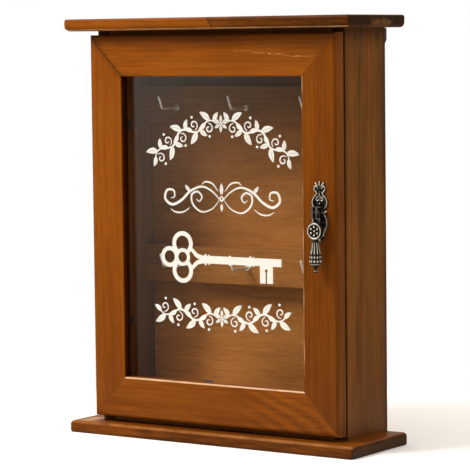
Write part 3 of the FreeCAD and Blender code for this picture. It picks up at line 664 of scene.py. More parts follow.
def end_caps(rows: int, cols: int) -> list[list[int]]:
    """Triangles that close a wrapped grid with a pole point at each end.

    The first pole is stored right after the grid's points, the last pole after it.

    Args:
        rows: number of rows.
        cols: points in a row.

    Returns:
        Corner numbers of each triangle.
    """
    k = np.arange(cols)
    k2 = (k + 1) % cols
    end = (rows - 1) * cols
    first = np.stack([k2, k, np.full(cols, rows * cols)], 1)
    last = np.stack([end + k, end + k2, np.full(cols, rows * cols + 1)], 1)
    return first.tolist() + last.tolist()


def tube(bag: MeshBag, path: np.ndarray, radius: np.ndarray, sides: int = 12) -> None:
    """Round bar along a path in a plane of constant Y: a circle of the given radius in the plane across
    the path at each sample, closed with a pole at each end.

    Args:
        bag: where the surface goes.
        path: (N, 3) middle line.
        radius: (N,) radius at each sample.
        sides: corners of the circle.
    """
    flat = side_of(path[:, [0, 2]])
    turn = np.linspace(0, 2 * np.pi, sides, endpoint=False)
    ring = np.repeat(path[:, None, :], sides, 1)
    ring[..., 0] += radius[:, None] * np.cos(turn) * flat[:, :1]
    ring[..., 2] += radius[:, None] * np.cos(turn) * flat[:, 1:]
    ring[..., 1] += radius[:, None] * np.sin(turn)
    n = len(path)
    points = np.concatenate([ring.reshape(-1, 3), path[:1], path[-1:]])
    crest = np.clip(-np.sin(turn), 0, 1) ** 1.5
    rub = np.concatenate([np.tile(crest, n), [0.4, 0.4]])
    bag.add(points, grid_faces(n, sides).tolist() + end_caps(n, sides), rub)


def bead(bag: MeshBag, centre: Sequence[float], radii: Sequence[float], rows: int = 9,
         cols: int = 16) -> None:
    """Oval bead: a sphere's latitude and longitude grid scaled on each axis, poles facing front and back.

    Args:
        bag: where the surface goes.
        centre: middle of the bead.
        radii: half-sizes along X, Y and Z.
        rows: latitudes between the poles.
        cols: longitudes.
    """
    lat = np.linspace(0, np.pi, rows + 2)[1:-1][:, None]
    lon = np.linspace(0, 2 * np.pi, cols, endpoint=False)[None, :]
    across, up = np.sin(lat) * np.cos(lon), np.sin(lat) * np.sin(lon)
    unit = np.stack(np.broadcast_arrays(across, -np.cos(lat), up), -1)
    unit = np.concatenate([unit.reshape(-1, 3), [[0, -1, 0], [0, 1, 0]]])
    faces = grid_faces(rows, cols).tolist() + end_caps(rows, cols)
    bag.add(np.asarray(centre) + unit * np.asarray(radii), faces, np.clip(-unit[:, 1], 0, 1) ** 0.8)


def turned(bag: MeshBag, centre: Sequence[float], axial: np.ndarray, radial: np.ndarray, axis: str,
           rub: Optional[np.ndarray] = None) -> None:
    """Turned solid: each row of radial holds the radius all the way round at one place along the axis.

    Args:
        bag: where the surface goes.
        centre: origin of the axis.
        axial: (N,) places along the axis, or (N, M) for each point.
        radial: (N, M) radii.
        axis: "z" or "y".
        rub: (N, M) rubbing.
    """
    rows, cols = radial.shape
    turn = np.linspace(0, 2 * np.pi, cols, endpoint=False)[None, :]
    along = np.broadcast_to(axial if axial.ndim == 2 else axial[:, None], radial.shape)
    c, s = radial * np.cos(turn), radial * np.sin(turn)
    order = {"z": (c, s, along), "y": (s, along, c)}[axis]
    body = np.stack(order, -1).reshape(-1, 3)
    poles = np.stack([body[:cols].mean(0), body[-cols:].mean(0)])
    faces = grid_faces(rows, cols).tolist() + end_caps(rows, cols)
    worn_and_sheen = np.full((rows, cols), 0.3) if rub is None else rub
    bag.add(np.asarray(centre) + np.concatenate([body, poles]), faces,
            np.concatenate([worn_and_sheen.ravel(), [worn_and_sheen[0].mean(), worn_and_sheen[-1].mean()]]))


def spiral(centre: Sequence[float], start: float, end: float, r0: float, r1: float, n: int) -> np.ndarray:
    """Flat spiral: the angle runs evenly from start to end in degrees while the radius goes from r0 to r1.

    Args:
        centre: its middle.
        start: first angle, in degrees.
        end: last angle, in degrees.
        r0: first radius.
        r1: last radius.
        n: number of points.

    Returns:
        (n, 2) points.
    """
    t = np.linspace(0, 1, n)
    a = np.radians(start + (end - start) * t)
    r = r0 + (r1 - r0) * t
    return np.stack([centre[0] + r * np.cos(a), centre[1] + r * np.sin(a)], 1)


# ---------------------------------------------------------------------------------------------
# Sub-assemblies
# ---------------------------------------------------------------------------------------------


@dataclass
class DropPull:
    """Antique drop pull: pierced backplate with scrollwork, and a studded, fluted drop."""

    x: float = 0.0999
    y_door: float = -0.03005
    y_pivot: float = -0.03705
    z: float = 0.1831
    plate: float = 0.00045
    wire: float = 0.00058
    wire_rise: float = 0.00062
    disc_drop: float = 14.2 * MM
    disc_radius: float = 6.4 * MM
    rim: float = 0.00085
    stud: float = 0.00112
    stud_circle: float = 3.15 * MM
    flutes: int = 10
    beads: int = 12
    finish: Metal = field(default_factory=lambda: Metal(
        "antique_bronze_rubbed", (0.016, 0.013, 0.011), (0.86, 0.80, 0.70), 0.34, rub_attribute=True,
        dull=(0.008, 0.006, 0.005)))

    def at(self, pts: np.ndarray, y: float) -> np.ndarray:
        """Turns (x, z) points in millimetres from the pivot into places in the plane y.

        Args:
            pts: (N, 2) points.
            y: the plane.

        Returns:
            (N, 3) places in metres.
        """
        out = np.empty((len(pts), 3))
        out[:, 0] = self.x + pts[:, 0] * MM
        out[:, 1] = y
        out[:, 2] = self.z + pts[:, 1] * MM
        return out

    def scroll(self, bag: MeshBag, pts: np.ndarray, scale: float = 1.0, lift: float = 0.0) -> None:
        """Lays a tapered wire and its mirror image on the plate.

        Args:
            bag: where the wires go.
            pts: (N, 2) path on the right-hand side, in millimetres.
            scale: thickness of the wire over the usual one.
            lift: how much further forward it stands, in metres.
        """
        path = smooth_path(pts, 6)
        t = np.linspace(0, 1, len(path))
        radius = self.wire * scale * np.clip(np.sin(np.pi * np.clip(t, 0.02, 0.98)) * 2.2, 0.25, 1.0)
        for side in (1, -1):
            mirrored = (path * [side, 1])[::side]
            tube(bag, self.at(mirrored, self.y_door - self.wire_rise - lift), radius[::side])

    def backplate(self, material: bpy.types.Material) -> bpy.types.Object:
        """Thin leaf-shaped sheet under raised scrolls, crown rays, spurs and beads.

        Args:
            material: its finish.

        Returns:
            The piece.
        """
        bag = MeshBag()
        outline = smooth_path([(-22.4, 0.2), (-21.2, 1.8), (-18.6, 3.9), (-15.6, 4.3), (-12.0, 6.3),
                               (-8.2, 6.7), (-4.2, 5.6), (-1.4, 3.6), (0.6, 2.9), (3.0, 4.4), (6.4, 6.9),
                               (9.2, 6.2), (12.2, 4.2), (14.6, 2.5), (16.4, 4.6), (18.2, 4.2), (19.6, 2.2),
                               (20.2, 0.3)], 6)
        left = self.at(np.stack([-outline[:, 1], outline[:, 0]], 1), 0)[:, [0, 2]]
        right = self.at(np.stack([outline[:, 1], outline[:, 0]], 1), 0)[:, [0, 2]]
        flat_band(bag, left, right, self.y_door - self.plate, self.y_door)
        self.scroll(bag, np.array([(2.5, 16.2), (1.9, 17.3), (2.5, 18.6), (3.8, 18.8), (4.8, 17.4),
                                   (4.0, 15.4), (2.4, 14.0), (3.2, 12.4), (5.0, 10.4), (6.3, 7.8),
                                   (6.2, 5.2), (4.8, 3.2), (3.2, 2.4)]))
        self.scroll(bag, np.array([(2.8, -1.0), (4.5, -2.9), (5.9, -5.6), (6.3, -8.6), (5.8, -11.8),
                                   (4.4, -14.6), (2.9, -16.4), (1.6, -18.2), (1.2, -20.0)]), 0.95)
        self.scroll(bag, np.array([(2.0, -0.2), (3.4, -0.7), (4.8, -0.5), (6.3, 0.5)]), 1.1, 0.0001)
        self.scroll(bag, np.array([(0.9, 10.9), (2.4, 10.4), (2.9, 9.0), (1.9, 8.0), (1.1, 8.8)]), 0.8)
        for dx, dz, rx, rz in ((3.2, -17.6, 1.05, 1.05), (-3.2, -17.6, 1.05, 1.05), (0.0, -21.3, 1.1, 1.1),
                               (0.0, 13.2, 0.6, 1.0), (0.0, 5.9, 0.7, 0.7)):
            bead(bag, (self.x + dx * MM, self.y_door - 0.0005, self.z + dz * MM), (rx * MM, 0.00095, rz * MM))
        for tip, root in (((0.0, 22.7), (0.0, 19.2)), ((3.9, 21.6), (1.2, 18.9)),
                          ((-3.9, 21.6), (-1.2, 18.9))):
            ray = np.linspace(root, tip, 10)
            swell = self.wire * (0.55 + 0.75 * np.sin(np.pi * np.linspace(0.05, 0.9, 10)))
            tube(bag, self.at(ray, self.y_door - 0.0007), swell)
        piece = bag.build("pull_backplate_scrolls", "door", "antique_bronze", material)
        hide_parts("pull_backplate")
        return piece

    def medallion(self, material: bpy.types.Material) -> bpy.types.Object:
        """Round medallion: a disc whose front height is a raised rim plus seven rounded studs.

        The front height is the rim's half circle of distance from the rim line, plus for each stud the
        height of a sphere cap at the distance from the stud's centre.

        Args:
            material: its finish.

        Returns:
            The piece.
        """
        bag = MeshBag()
        radius, rim, stud, cols = self.disc_radius, self.rim, self.stud, 96
        rho = np.concatenate([np.linspace(0.02, 1.0, 34), np.linspace(1.0, 0.02, 14)])
        turn = np.linspace(0, 2 * np.pi, cols, endpoint=False)
        r = np.repeat(rho[:, None], cols, 1) * radius
        u, w = r * np.sin(turn), r * np.cos(turn)
        lift = np.sqrt(np.clip(rim**2 - (r - radius + rim) ** 2, 0, None))
        studs = np.zeros_like(r)
        sixths = [math.pi / 3 * i for i in range(6)]
        spots = [(self.stud_circle * math.sin(a), self.stud_circle * math.cos(a)) for a in sixths]
        for su, sw in [(0.0, 0.0)] + spots:
            gap = (u - su) ** 2 + (w - sw) ** 2
            studs = np.maximum(studs, np.sqrt(np.clip(stud**2 - gap, 0, None)))
        front = (np.arange(len(rho)) < 34)[:, None]
        dish = 0.0009 + 0.00045 * (1 - np.cos(np.pi * rho[:, None])) / 2
        back = 0.0012 + 0.0003 * np.sqrt(1 - rho[:, None]**2)
        high = np.where(front, -(dish + lift + studs * 1.1), back)
        rub = np.clip(np.where(front, 0.92 * (lift / rim) ** 2 + (studs / stud) ** 1.5, 0.2), 0, 1)
        centre = (self.x, self.y_pivot, self.z - self.disc_drop)
        turned(bag, centre, high, r, "y", rub)
        return bag.build("pull_medallion", "pendant", "antique_bronze", material)

    def bell(self, material: bpy.types.Material) -> bpy.types.Object:
        """Fluted bell with two bead rows, a ring, a taper and a ball.

        The radius follows a turned profile; where the bell is plain, the flutes' ridges add a power of
        the cosine of half as many turns as there are flutes, and each bead row adds half-round beads
        spaced evenly round it.

        Args:
            material: its finish.

        Returns:
            The piece.
        """
        bag = MeshBag()
        cols = 112
        prof = smooth_path([(0.3, -18.8), (1.8, -19.2), (2.3, -20.3), (2.4, -21.6), (2.8, -25.0),
                            (3.4, -28.5), (4.0, -31.2), (4.0, -32.2), (3.9, -33.4), (3.9, -34.8),
                            (4.1, -36.2), (4.1, -37.4), (3.7, -38.2), (4.1, -38.9), (3.3, -39.8),
                            (2.0, -41.0), (1.1, -42.3), (1.1, -42.9), (1.7, -43.8), (1.6, -44.8),
                            (0.9, -45.4), (0.12, -45.5)], 7)
        z, base = prof[:, 1], prof[:, 0]
        turn = np.linspace(0, 2 * np.pi, cols, endpoint=False)[None, :]
        fade = np.clip((-20.8 - z) / 2.5, 0, 1) * np.clip((z + 32.2) / 1.2, 0, 1)
        ridge = np.abs(np.cos(self.flutes / 2 * turn)) ** 0.55
        radial = base[:, None] * (1 + fade[:, None] * (0.20 * ridge - 0.13))
        rub = 0.05 + fade[:, None] * (ridge > 0.90) * 0.80
        for z0, size in ((-33.6, 0.70), (-36.7, 0.86)):
            cap = np.sqrt(np.clip(1 - ((z - z0) / 1.15) ** 2, 0, 1))[:, None]
            dome = np.sqrt(np.clip(1 - (np.abs(np.sin(self.beads * turn / 2 + z0)) * 1.05) ** 2, 0, 1))
            radial = radial + size * cap * (0.10 + 0.90 * dome)
            rub = np.maximum(rub, cap * dome)
        ring = np.exp(-((z + 39.0) / 0.5) ** 2) + np.exp(-((z + 20.2) / 0.5) ** 2)
        ball = np.clip(1 - np.abs(z + 44.0) / 1.0, 0, 1)
        rub = np.clip(np.maximum(rub, np.maximum(ring, ball)[:, None] * 0.8), 0, 1)
        worn_and_sheen = np.broadcast_to(rub, radial.shape)[::-1]
        turned(bag, (self.x, self.y_pivot, self.z), z[::-1] * MM, (radial * MM)[::-1], "z", worn_and_sheen)
        return bag.build("pull_bell", "pendant", "antique_bronze", material)

    def neck(self, material: bpy.types.Material) -> bpy.types.Object:
        """Eye on the pivot pin and the short neck down to the medallion.

        The eye is a rounded rectangle turned about the pin's axis; the neck is a turned taper.

        Args:
            material: its finish.

        Returns:
            The piece.
        """
        bag = MeshBag()
        a = np.linspace(0, 2 * np.pi, 20, endpoint=False)
        section_r = 1.20 + 0.40 * np.sign(np.cos(a)) * np.abs(np.cos(a)) ** 0.6
        section_x = 0.85 * np.sign(np.sin(a)) * np.abs(np.sin(a)) ** 0.6
        turn = np.linspace(0, 2 * np.pi, 40, endpoint=False)
        ring = np.empty((20, 40, 3))
        ring[..., 0] = section_x[:, None]
        ring[..., 1] = section_r[:, None] * np.cos(turn)
        ring[..., 2] = section_r[:, None] * np.sin(turn)
        centre = np.array([self.x, self.y_pivot, self.z])
        bag.add(centre + ring.reshape(-1, 3) * MM, grid_faces(20, 40, True).tolist(), np.full(800, 0.35))
        prof = smooth_path([(0.2, -1.35), (0.80, -1.5), (0.80, -5.4), (1.0, -6.0), (1.7, -6.3), (1.8, -6.9),
                            (1.2, -7.4), (1.3, -8.4), (0.2, -8.9)], 6)
        radial = np.repeat(prof[::-1, :1], 28, 1) * MM
        turned(bag, centre, prof[::-1, 1] * MM, radial, "z")
        return bag.build("pull_neck", "pendant", "antique_bronze", material)

    def build(self) -> list[bpy.types.Object]:
        """Builds every piece of the pull.

        Returns:
            The pieces.
        """
        material = self.finish.material()
        drop = [self.medallion(material), self.bell(material), self.neck(material)]
        for piece in drop:
            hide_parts("pull_pendant")
        return [self.backplate(material)] + drop


@dataclass
class GlassOrnament:
    """Printed ornament on the glass: two leafy garlands, a scrolled flourish and an old-fashioned key."""

    y_glass: float = -0.02175
    film: float = 0.00012
    cx: float = 0.005
    layer: int = 0
    layer_step: float = 0.0000008
    finish: Speckled = field(default_factory=lambda: Speckled(
        "ivory_print", (0.86, 0.84, 0.78), (0.72, 0.69, 0.62), 700.0, 0.5, 0.00001))

    def band(self, bag: MeshBag, left: np.ndarray, right: np.ndarray, closed: bool = False) -> None:
        """Adds a flat printed area between two edge lines in millimetres.

        Args:
            bag: where it goes.
            left: (N, 2) edge line in millimetres.
            right: (N, 2) edge line in millimetres.
            closed: whether the last station joins the first.
        """
        self.layer = (self.layer + 1) % 60
        front = self.y_glass - self.film - self.layer * self.layer_step
        flat_band(bag, left * MM, right * MM, front, self.y_glass - 0.00001, closed)

    def stroke(self, bag: MeshBag, pts: np.ndarray, width: float, thin: float = 0.25) -> None:
        """Pen stroke: a band along a path whose width swells as a sine from thin to width and back.

        Args:
            bag: where it goes.
            pts: (N, 2) smooth path in millimetres.
            width: greatest width.
            thin: width at the ends as a share of the greatest.
        """
        t = np.linspace(0, 1, len(pts))
        half = 0.5 * width * (thin + (1 - thin) * np.sin(np.pi * t) ** 0.8)
        side = side_of(pts) * half[:, None]
        self.band(bag, pts - side, pts + side)

    def leaf(self, bag: MeshBag, root: np.ndarray, angle: float, length: float, fat: float,
             curl: float) -> None:
        """Two half blades along a bent midrib, with a fine gap between them.

        The midrib turns steadily by curl; each half blade's width is a skewed sine of the way along it.

        Args:
            bag: where it goes.
            root: foot of the midrib.
            angle: heading at the foot, in radians.
            length: length of the midrib.
            fat: half width at the widest.
            curl: how far the midrib turns, in radians.
        """
        t = np.linspace(0.0, 1.0, 14)
        heading = angle + curl * t
        step = length / 13
        mid = root + np.concatenate([[[0, 0]], np.cumsum(
            np.stack([np.cos(heading), np.sin(heading)], 1)[:-1] * step, 0)])
        normal = np.stack([-np.sin(heading), np.cos(heading)], 1)
        wide = fat * np.sin(np.pi * t**0.8) ** 0.9
        for way in (1, -1):
            inner = mid + way * normal * 0.10
            outer = mid + way * normal * (0.14 + wide)[:, None]
            if way > 0:
                self.band(bag, inner, outer)
            else:
                self.band(bag, outer, inner)

    def ring(self, bag: MeshBag, centre: Sequence[float], outer: float, inner: float, n: int = 40) -> None:
        """Flat ring between two circles.

        Args:
            bag: where it goes.
            centre: its middle.
            outer: outer radius.
            inner: inner radius.
            n: number of points.
        """
        a = np.linspace(0, 2 * np.pi, n, endpoint=False)[::-1]
        unit = np.stack([np.cos(a), np.sin(a)], 1)
        self.band(bag, np.asarray(centre) + unit * outer, np.asarray(centre) + unit * inner, True)

    def open_ring(self, bag: MeshBag, centre: Sequence[float], outer: float, inner: float,
                  facing: float, gap: float) -> None:
        """Flat ring between two circles with a gap towards one side.

        Args:
            bag: where it goes.
            centre: middle of the circles.
            outer: outer radius.
            inner: inner radius.
            facing: direction of the gap's middle in degrees, from X towards Z.
            gap: half the gap's angle in degrees.
        """
        a = np.radians(np.linspace(facing + gap, facing + 360 - gap, 44))[::-1]
        unit = np.stack([np.cos(a), np.sin(a)], 1)
        self.band(bag, np.asarray(centre) + unit * outer, np.asarray(centre) + unit * inner)

    def garland(self, bag: MeshBag, base: Callable[[np.ndarray], np.ndarray], length: float, waves: int,
                swing: float, leaf: float) -> None:
        """Undulating vine along a base line, mirrored about its middle.

        The stem's offset from the base line is a sine; a pair of leaves and a curled tendril grow at
        each crest, on the outside of the bend.

        Args:
            bag: where it goes.
            base: turns distances from the middle, in millimetres, into (N, 2) points.
            length: from the middle to one end.
            waves: half waves on each side.
            swing: the sine's height.
            leaf: leaf length.
        """
        for side in (-1, 1):
            s = np.linspace(3.5, length, 40 * waves)
            point = base(side * s)
            ahead = base(side * (s + 0.01)) - point
            ahead /= np.linalg.norm(ahead, axis=1, keepdims=True)
            out = np.stack([-ahead[:, 1], ahead[:, 0]], 1) * side
            phase = np.pi * waves * (s - s[0]) / (s[-1] - s[0])
            stem = point + out * (swing * np.sin(phase))[:, None]
            self.stroke(bag, stem, 1.7, 0.45)
            for i in range(waves):
                k = int((i + 0.5) * 40)
                lift = 1 if i % 2 == 0 else -1
                heading = math.atan2(ahead[k, 1], ahead[k, 0])
                up = lift * side
                self.leaf(bag, stem[k], heading + up * 0.95, leaf, 2.3, -up * 0.5)
                self.leaf(bag, stem[k - 11], heading + up * 2.0, leaf * 0.74, 1.8, up * 0.5)
                ahead_k = min(k + 12, len(stem) - 1)
                self.leaf(bag, stem[ahead_k], heading - up * 0.85, leaf * 0.72, 1.7, up * 0.7)
                tip = stem[k + 4] + out[k] * (-lift * (leaf * 0.52))
                a0 = math.degrees(heading) + (90 if lift * side > 0 else -90)
                self.stroke(bag, spiral(tip, a0, a0 + side * lift * 400, leaf * 0.36, 0.8, 30), 1.15, 0.5)
                self.ring(bag, tip + out[k] * (-lift * leaf * 0.56), 1.1, 0.02, 14)

    def upper_garland(self, material: bpy.types.Material) -> bpy.types.Object:
        """Garland on an arch: the base line is a circle arc over the flourish.

        Args:
            material: its finish.

        Returns:
            The piece.
        """
        bag = MeshBag()
        radius, z0 = 81.7, 165.5

        def arch(s: np.ndarray) -> np.ndarray:
            """Points on the arch at distances from its top."""
            a = s / radius
            return np.stack([self.cx / MM + radius * np.sin(a), z0 + radius * np.cos(a)], 1)

        self.garland(bag, arch, 71.0, 5, 3.2, 11.2)
        self.rosette(bag, (self.cx / MM, z0 + radius), 5.2)
        return bag.build("glass_print_upper_garland", "door", "clear_glass", material, smooth=False)

    def rosette(self, bag: MeshBag, centre: Sequence[float], size: float) -> None:
        """Six leaf-shaped petals round a ring.

        Args:
            bag: where it goes.
            centre: its middle.
            size: length of a petal.
        """
        for i in range(6):
            a = math.pi / 3 * i + math.pi / 6
            root = np.asarray(centre) + 1.5 * np.array([math.cos(a), math.sin(a)])
            self.leaf(bag, root, a, size, 1.1, 0.0)
        self.ring(bag, centre, 1.5, 0.6, 20)

    def lower_garland(self, material: bpy.types.Material) -> bpy.types.Object:
        """Garland on a shallow hanging curve: the base line is a parabola.

        Args:
            material: its finish.

        Returns:
            The piece.
        """
        bag = MeshBag()

        def sag(s: np.ndarray) -> np.ndarray:
            """Points on the hanging curve at distances from its lowest place."""
            return np.stack([self.cx / MM - 1 + s, 96.6 + 5.0 * (s / 60.0) ** 2], 1)

        self.garland(bag, sag, 60.0, 4, 3.2, 11.4)
        self.rosette(bag, (self.cx / MM - 1, 96.6), 5.2)
        return bag.build("glass_print_lower_garland", "door", "clear_glass", material, smooth=False)

    def flourish(self, material: bpy.types.Material) -> bpy.types.Object:
        """Symmetrical pen flourish of curling strokes.

        Args:
            material: its finish.

        Returns:
            The piece.
        """
        bag = MeshBag()
        mid = np.array([self.cx / MM, 189.5])
        sweep = smooth_path([(0, -2.5), (8, 5), (18, 9), (29, 5.5), (38, -2.0), (47, -5.5), (53.5, -1.0),
                             (51.5, 5.5), (45.5, 5.5), (44.5, 0.8), (48, -0.6)], 12)
        loop = smooth_path([(2, -1), (9, -8), (19, -10.5), (27, -5), (28, 2.5), (22.5, 5.0), (18.5, 1.2),
                            (21.0, -2.4), (24.0, -0.6)], 12)
        hook = smooth_path([(30, -7.5), (36, -11), (43, -11.5), (48.5, -9.0)], 12)
        crest = smooth_path([(3.0, 5.5), (8.5, 11.5), (15, 12.8), (18.5, 10.8)], 12)
        for side in (1, -1):
            for path, width in ((sweep, 2.1), (loop, 1.6), (hook, 1.3), (crest, 1.3)):
                pts = mid + path * [side, 1]
                self.stroke(bag, pts if side > 0 else pts[::-1], width, 0.2)
            self.leaf(bag, mid + [side * 29.5, 5.0], math.pi / 2 - side * 0.9, 7.0, 1.3, side * 0.4)
        self.leaf(bag, mid + [0, 3.0], math.pi / 2, 9.0, 1.5, 0.0)
        self.leaf(bag, mid + [0, -4.0], -math.pi / 2, 6.0, 1.2, 0.0)
        self.ring(bag, mid, 2.0, 0.9, 24)
        return bag.build("glass_print_flourish", "door", "clear_glass", material, smooth=False)

    def key(self, material: bpy.types.Material) -> bpy.types.Object:
        """Old-fashioned key with a bow of rings, collars, a shank and a slotted bit.

        Each leg of the bit is a band down its height whose inner edge follows a round hole: the edge
        draws back by the square root of the hole's radius squared less the height from it squared.

        Args:
            material: its finish.

        Returns:
            The piece.
        """
        bag = MeshBag()
        z0, bow_x, bow_z = 141.9, -32.5, 143.0
        bit_left, bit_right, bit_foot = 39.8, 51.6, 125.7
        hole_x, hole_z, hole_r, half_slot = 45.6, 135.4, 1.35, 0.65
        self.ring(bag, (-44.9, bow_z), 8.2, 4.9, 44)
        self.open_ring(bag, (bow_x, bow_z + 10.6), 9.7, 6.2, 270.0, 31.0)
        self.open_ring(bag, (bow_x, bow_z - 10.5), 9.7, 6.2, 90.0, 31.0)
        self.ring(bag, (bow_x, bow_z), 7.0, 4.1, 40)
        for way in (1, -1):
            arm = smooth_path([(-25.0, 8.5), (-22.0, 5.7), (-18.6, 2.7), (-13.2, 1.1)], 8)
            side = side_of(arm) * np.linspace(1.2, 1.9, len(arm))[:, None]
            self.band(bag, (arm - side) * [1, way] + [0, z0], (arm + side) * [1, way] + [0, z0])
        for x, tall, wide in ((-10.8, 4.6, 2.0), (-7.6, 4.3, 1.6), (12.1, 4.1, 2.2), (31.0, 4.4, 2.2),
                              (33.8, 3.9, 1.6)):
            s = np.linspace(0, 1, 12)
            bulge = tall * (0.75 + 0.25 * np.sin(np.pi * s))
            line = x + wide * (s - 0.5)
            self.band(bag, np.stack([line, z0 + bulge], 1), np.stack([line, z0 - bulge], 1))
        for x0, x1, low, high in ((-14.2, 59.5, -3.0, 3.0), (bit_left, bit_right, -5.0, -2.9)):
            upper = np.array([[x0, z0 + high], [x1, z0 + high]])
            self.band(bag, upper, upper - [0, high - low])
        down = np.linspace(z0 - 4.9, bit_foot, 30)
        hole = np.sqrt(np.clip(hole_r**2 - (down - hole_z) ** 2, 0, None))
        slot = np.where(down < hole_z, np.maximum(hole, half_slot), hole)
        for outer, way in ((bit_left, -1), (bit_right, 1)):
            edge = np.stack([np.full(30, outer), down], 1)
            self.band(bag, edge, np.stack([hole_x + way * slot, down], 1))
        return bag.build("glass_print_key", "door", "clear_glass", material, smooth=False)

    def build(self) -> list[bpy.types.Object]:
        """Builds the print.

        Returns:
            The pieces.
        """
        material = self.finish.material()
        return [self.upper_garland(material), self.flourish(material), self.key(material),
                self.lower_garland(material)]


@dataclass
class GlassPane:
    """The door's pane with ground arrises, standing a hair clear of the rebate and of the clips."""

    clear: float = 0.00004
    arris: float = 0.00035
    corner: float = 0.0012
    corner_points: int = 7

    def outline(self, low: Sequence[float], high: Sequence[float], inset: float) -> np.ndarray:
        """Rectangle with rounded corners: a quarter circle at each corner, joined by straight edges.

        Args:
            low: lowest corner of the pane.
            high: highest corner of the pane.
            inset: how far the outline lies inside the pane's edge.

        Returns:
            (N, 2) points in X and Z.
        """
        turn = np.linspace(0, np.pi / 2, self.corner_points)[None, :] + np.pi / 2 * np.arange(4)[:, None]
        half = np.array([high[0] - low[0], high[2] - low[2]]) / 2
        middle = np.array([high[0] + low[0], high[2] + low[2]]) / 2
        signs = np.array([[1, 1], [-1, 1], [-1, -1], [1, -1]])
        centres = middle + signs * (half - self.corner)
        round_off = np.stack([np.cos(turn), np.sin(turn)], -1) * (self.corner - inset)
        return (centres[:, None, :] + round_off).reshape(-1, 2)

    def build(self) -> list[bpy.types.Object]:
        """Builds the pane: the outline stepped through the thickness, drawn in along a quarter circle
        at each face.

        Returns:
            The piece, in a list.
        """
        low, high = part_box("glass_pane")
        turn = np.linspace(0, np.pi / 2, 4)
        inset = self.arris * (1 - np.sin(turn))
        depth = self.arris * (1 - np.cos(turn)) + self.clear
        insets = np.concatenate([inset, inset[::-1]]) + self.clear
        depths = np.concatenate([low[1] + depth, high[1] - depth[::-1]])
        rows = [self.outline(low, high, i) for i in insets]
        points = np.empty((len(rows), len(rows[0]), 3))
        points[:, :, [0, 2]] = np.stack(rows)
        points[:, :, 1] = depths[:, None]
        cols = len(rows[0])
        last = (len(rows) - 1) * cols
        faces = grid_faces(len(rows), cols).tolist()
        faces += [list(range(cols))[::-1], list(range(last, last + cols))]
        bag = MeshBag()
        bag.add(points.reshape(-1, 3), faces)
        material = SheetGlass().material()
        piece = bag.build("glass_pane_ground_edges", "door", "clear_glass", material, smooth=False)
        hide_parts("glass_pane")
        return [piece]


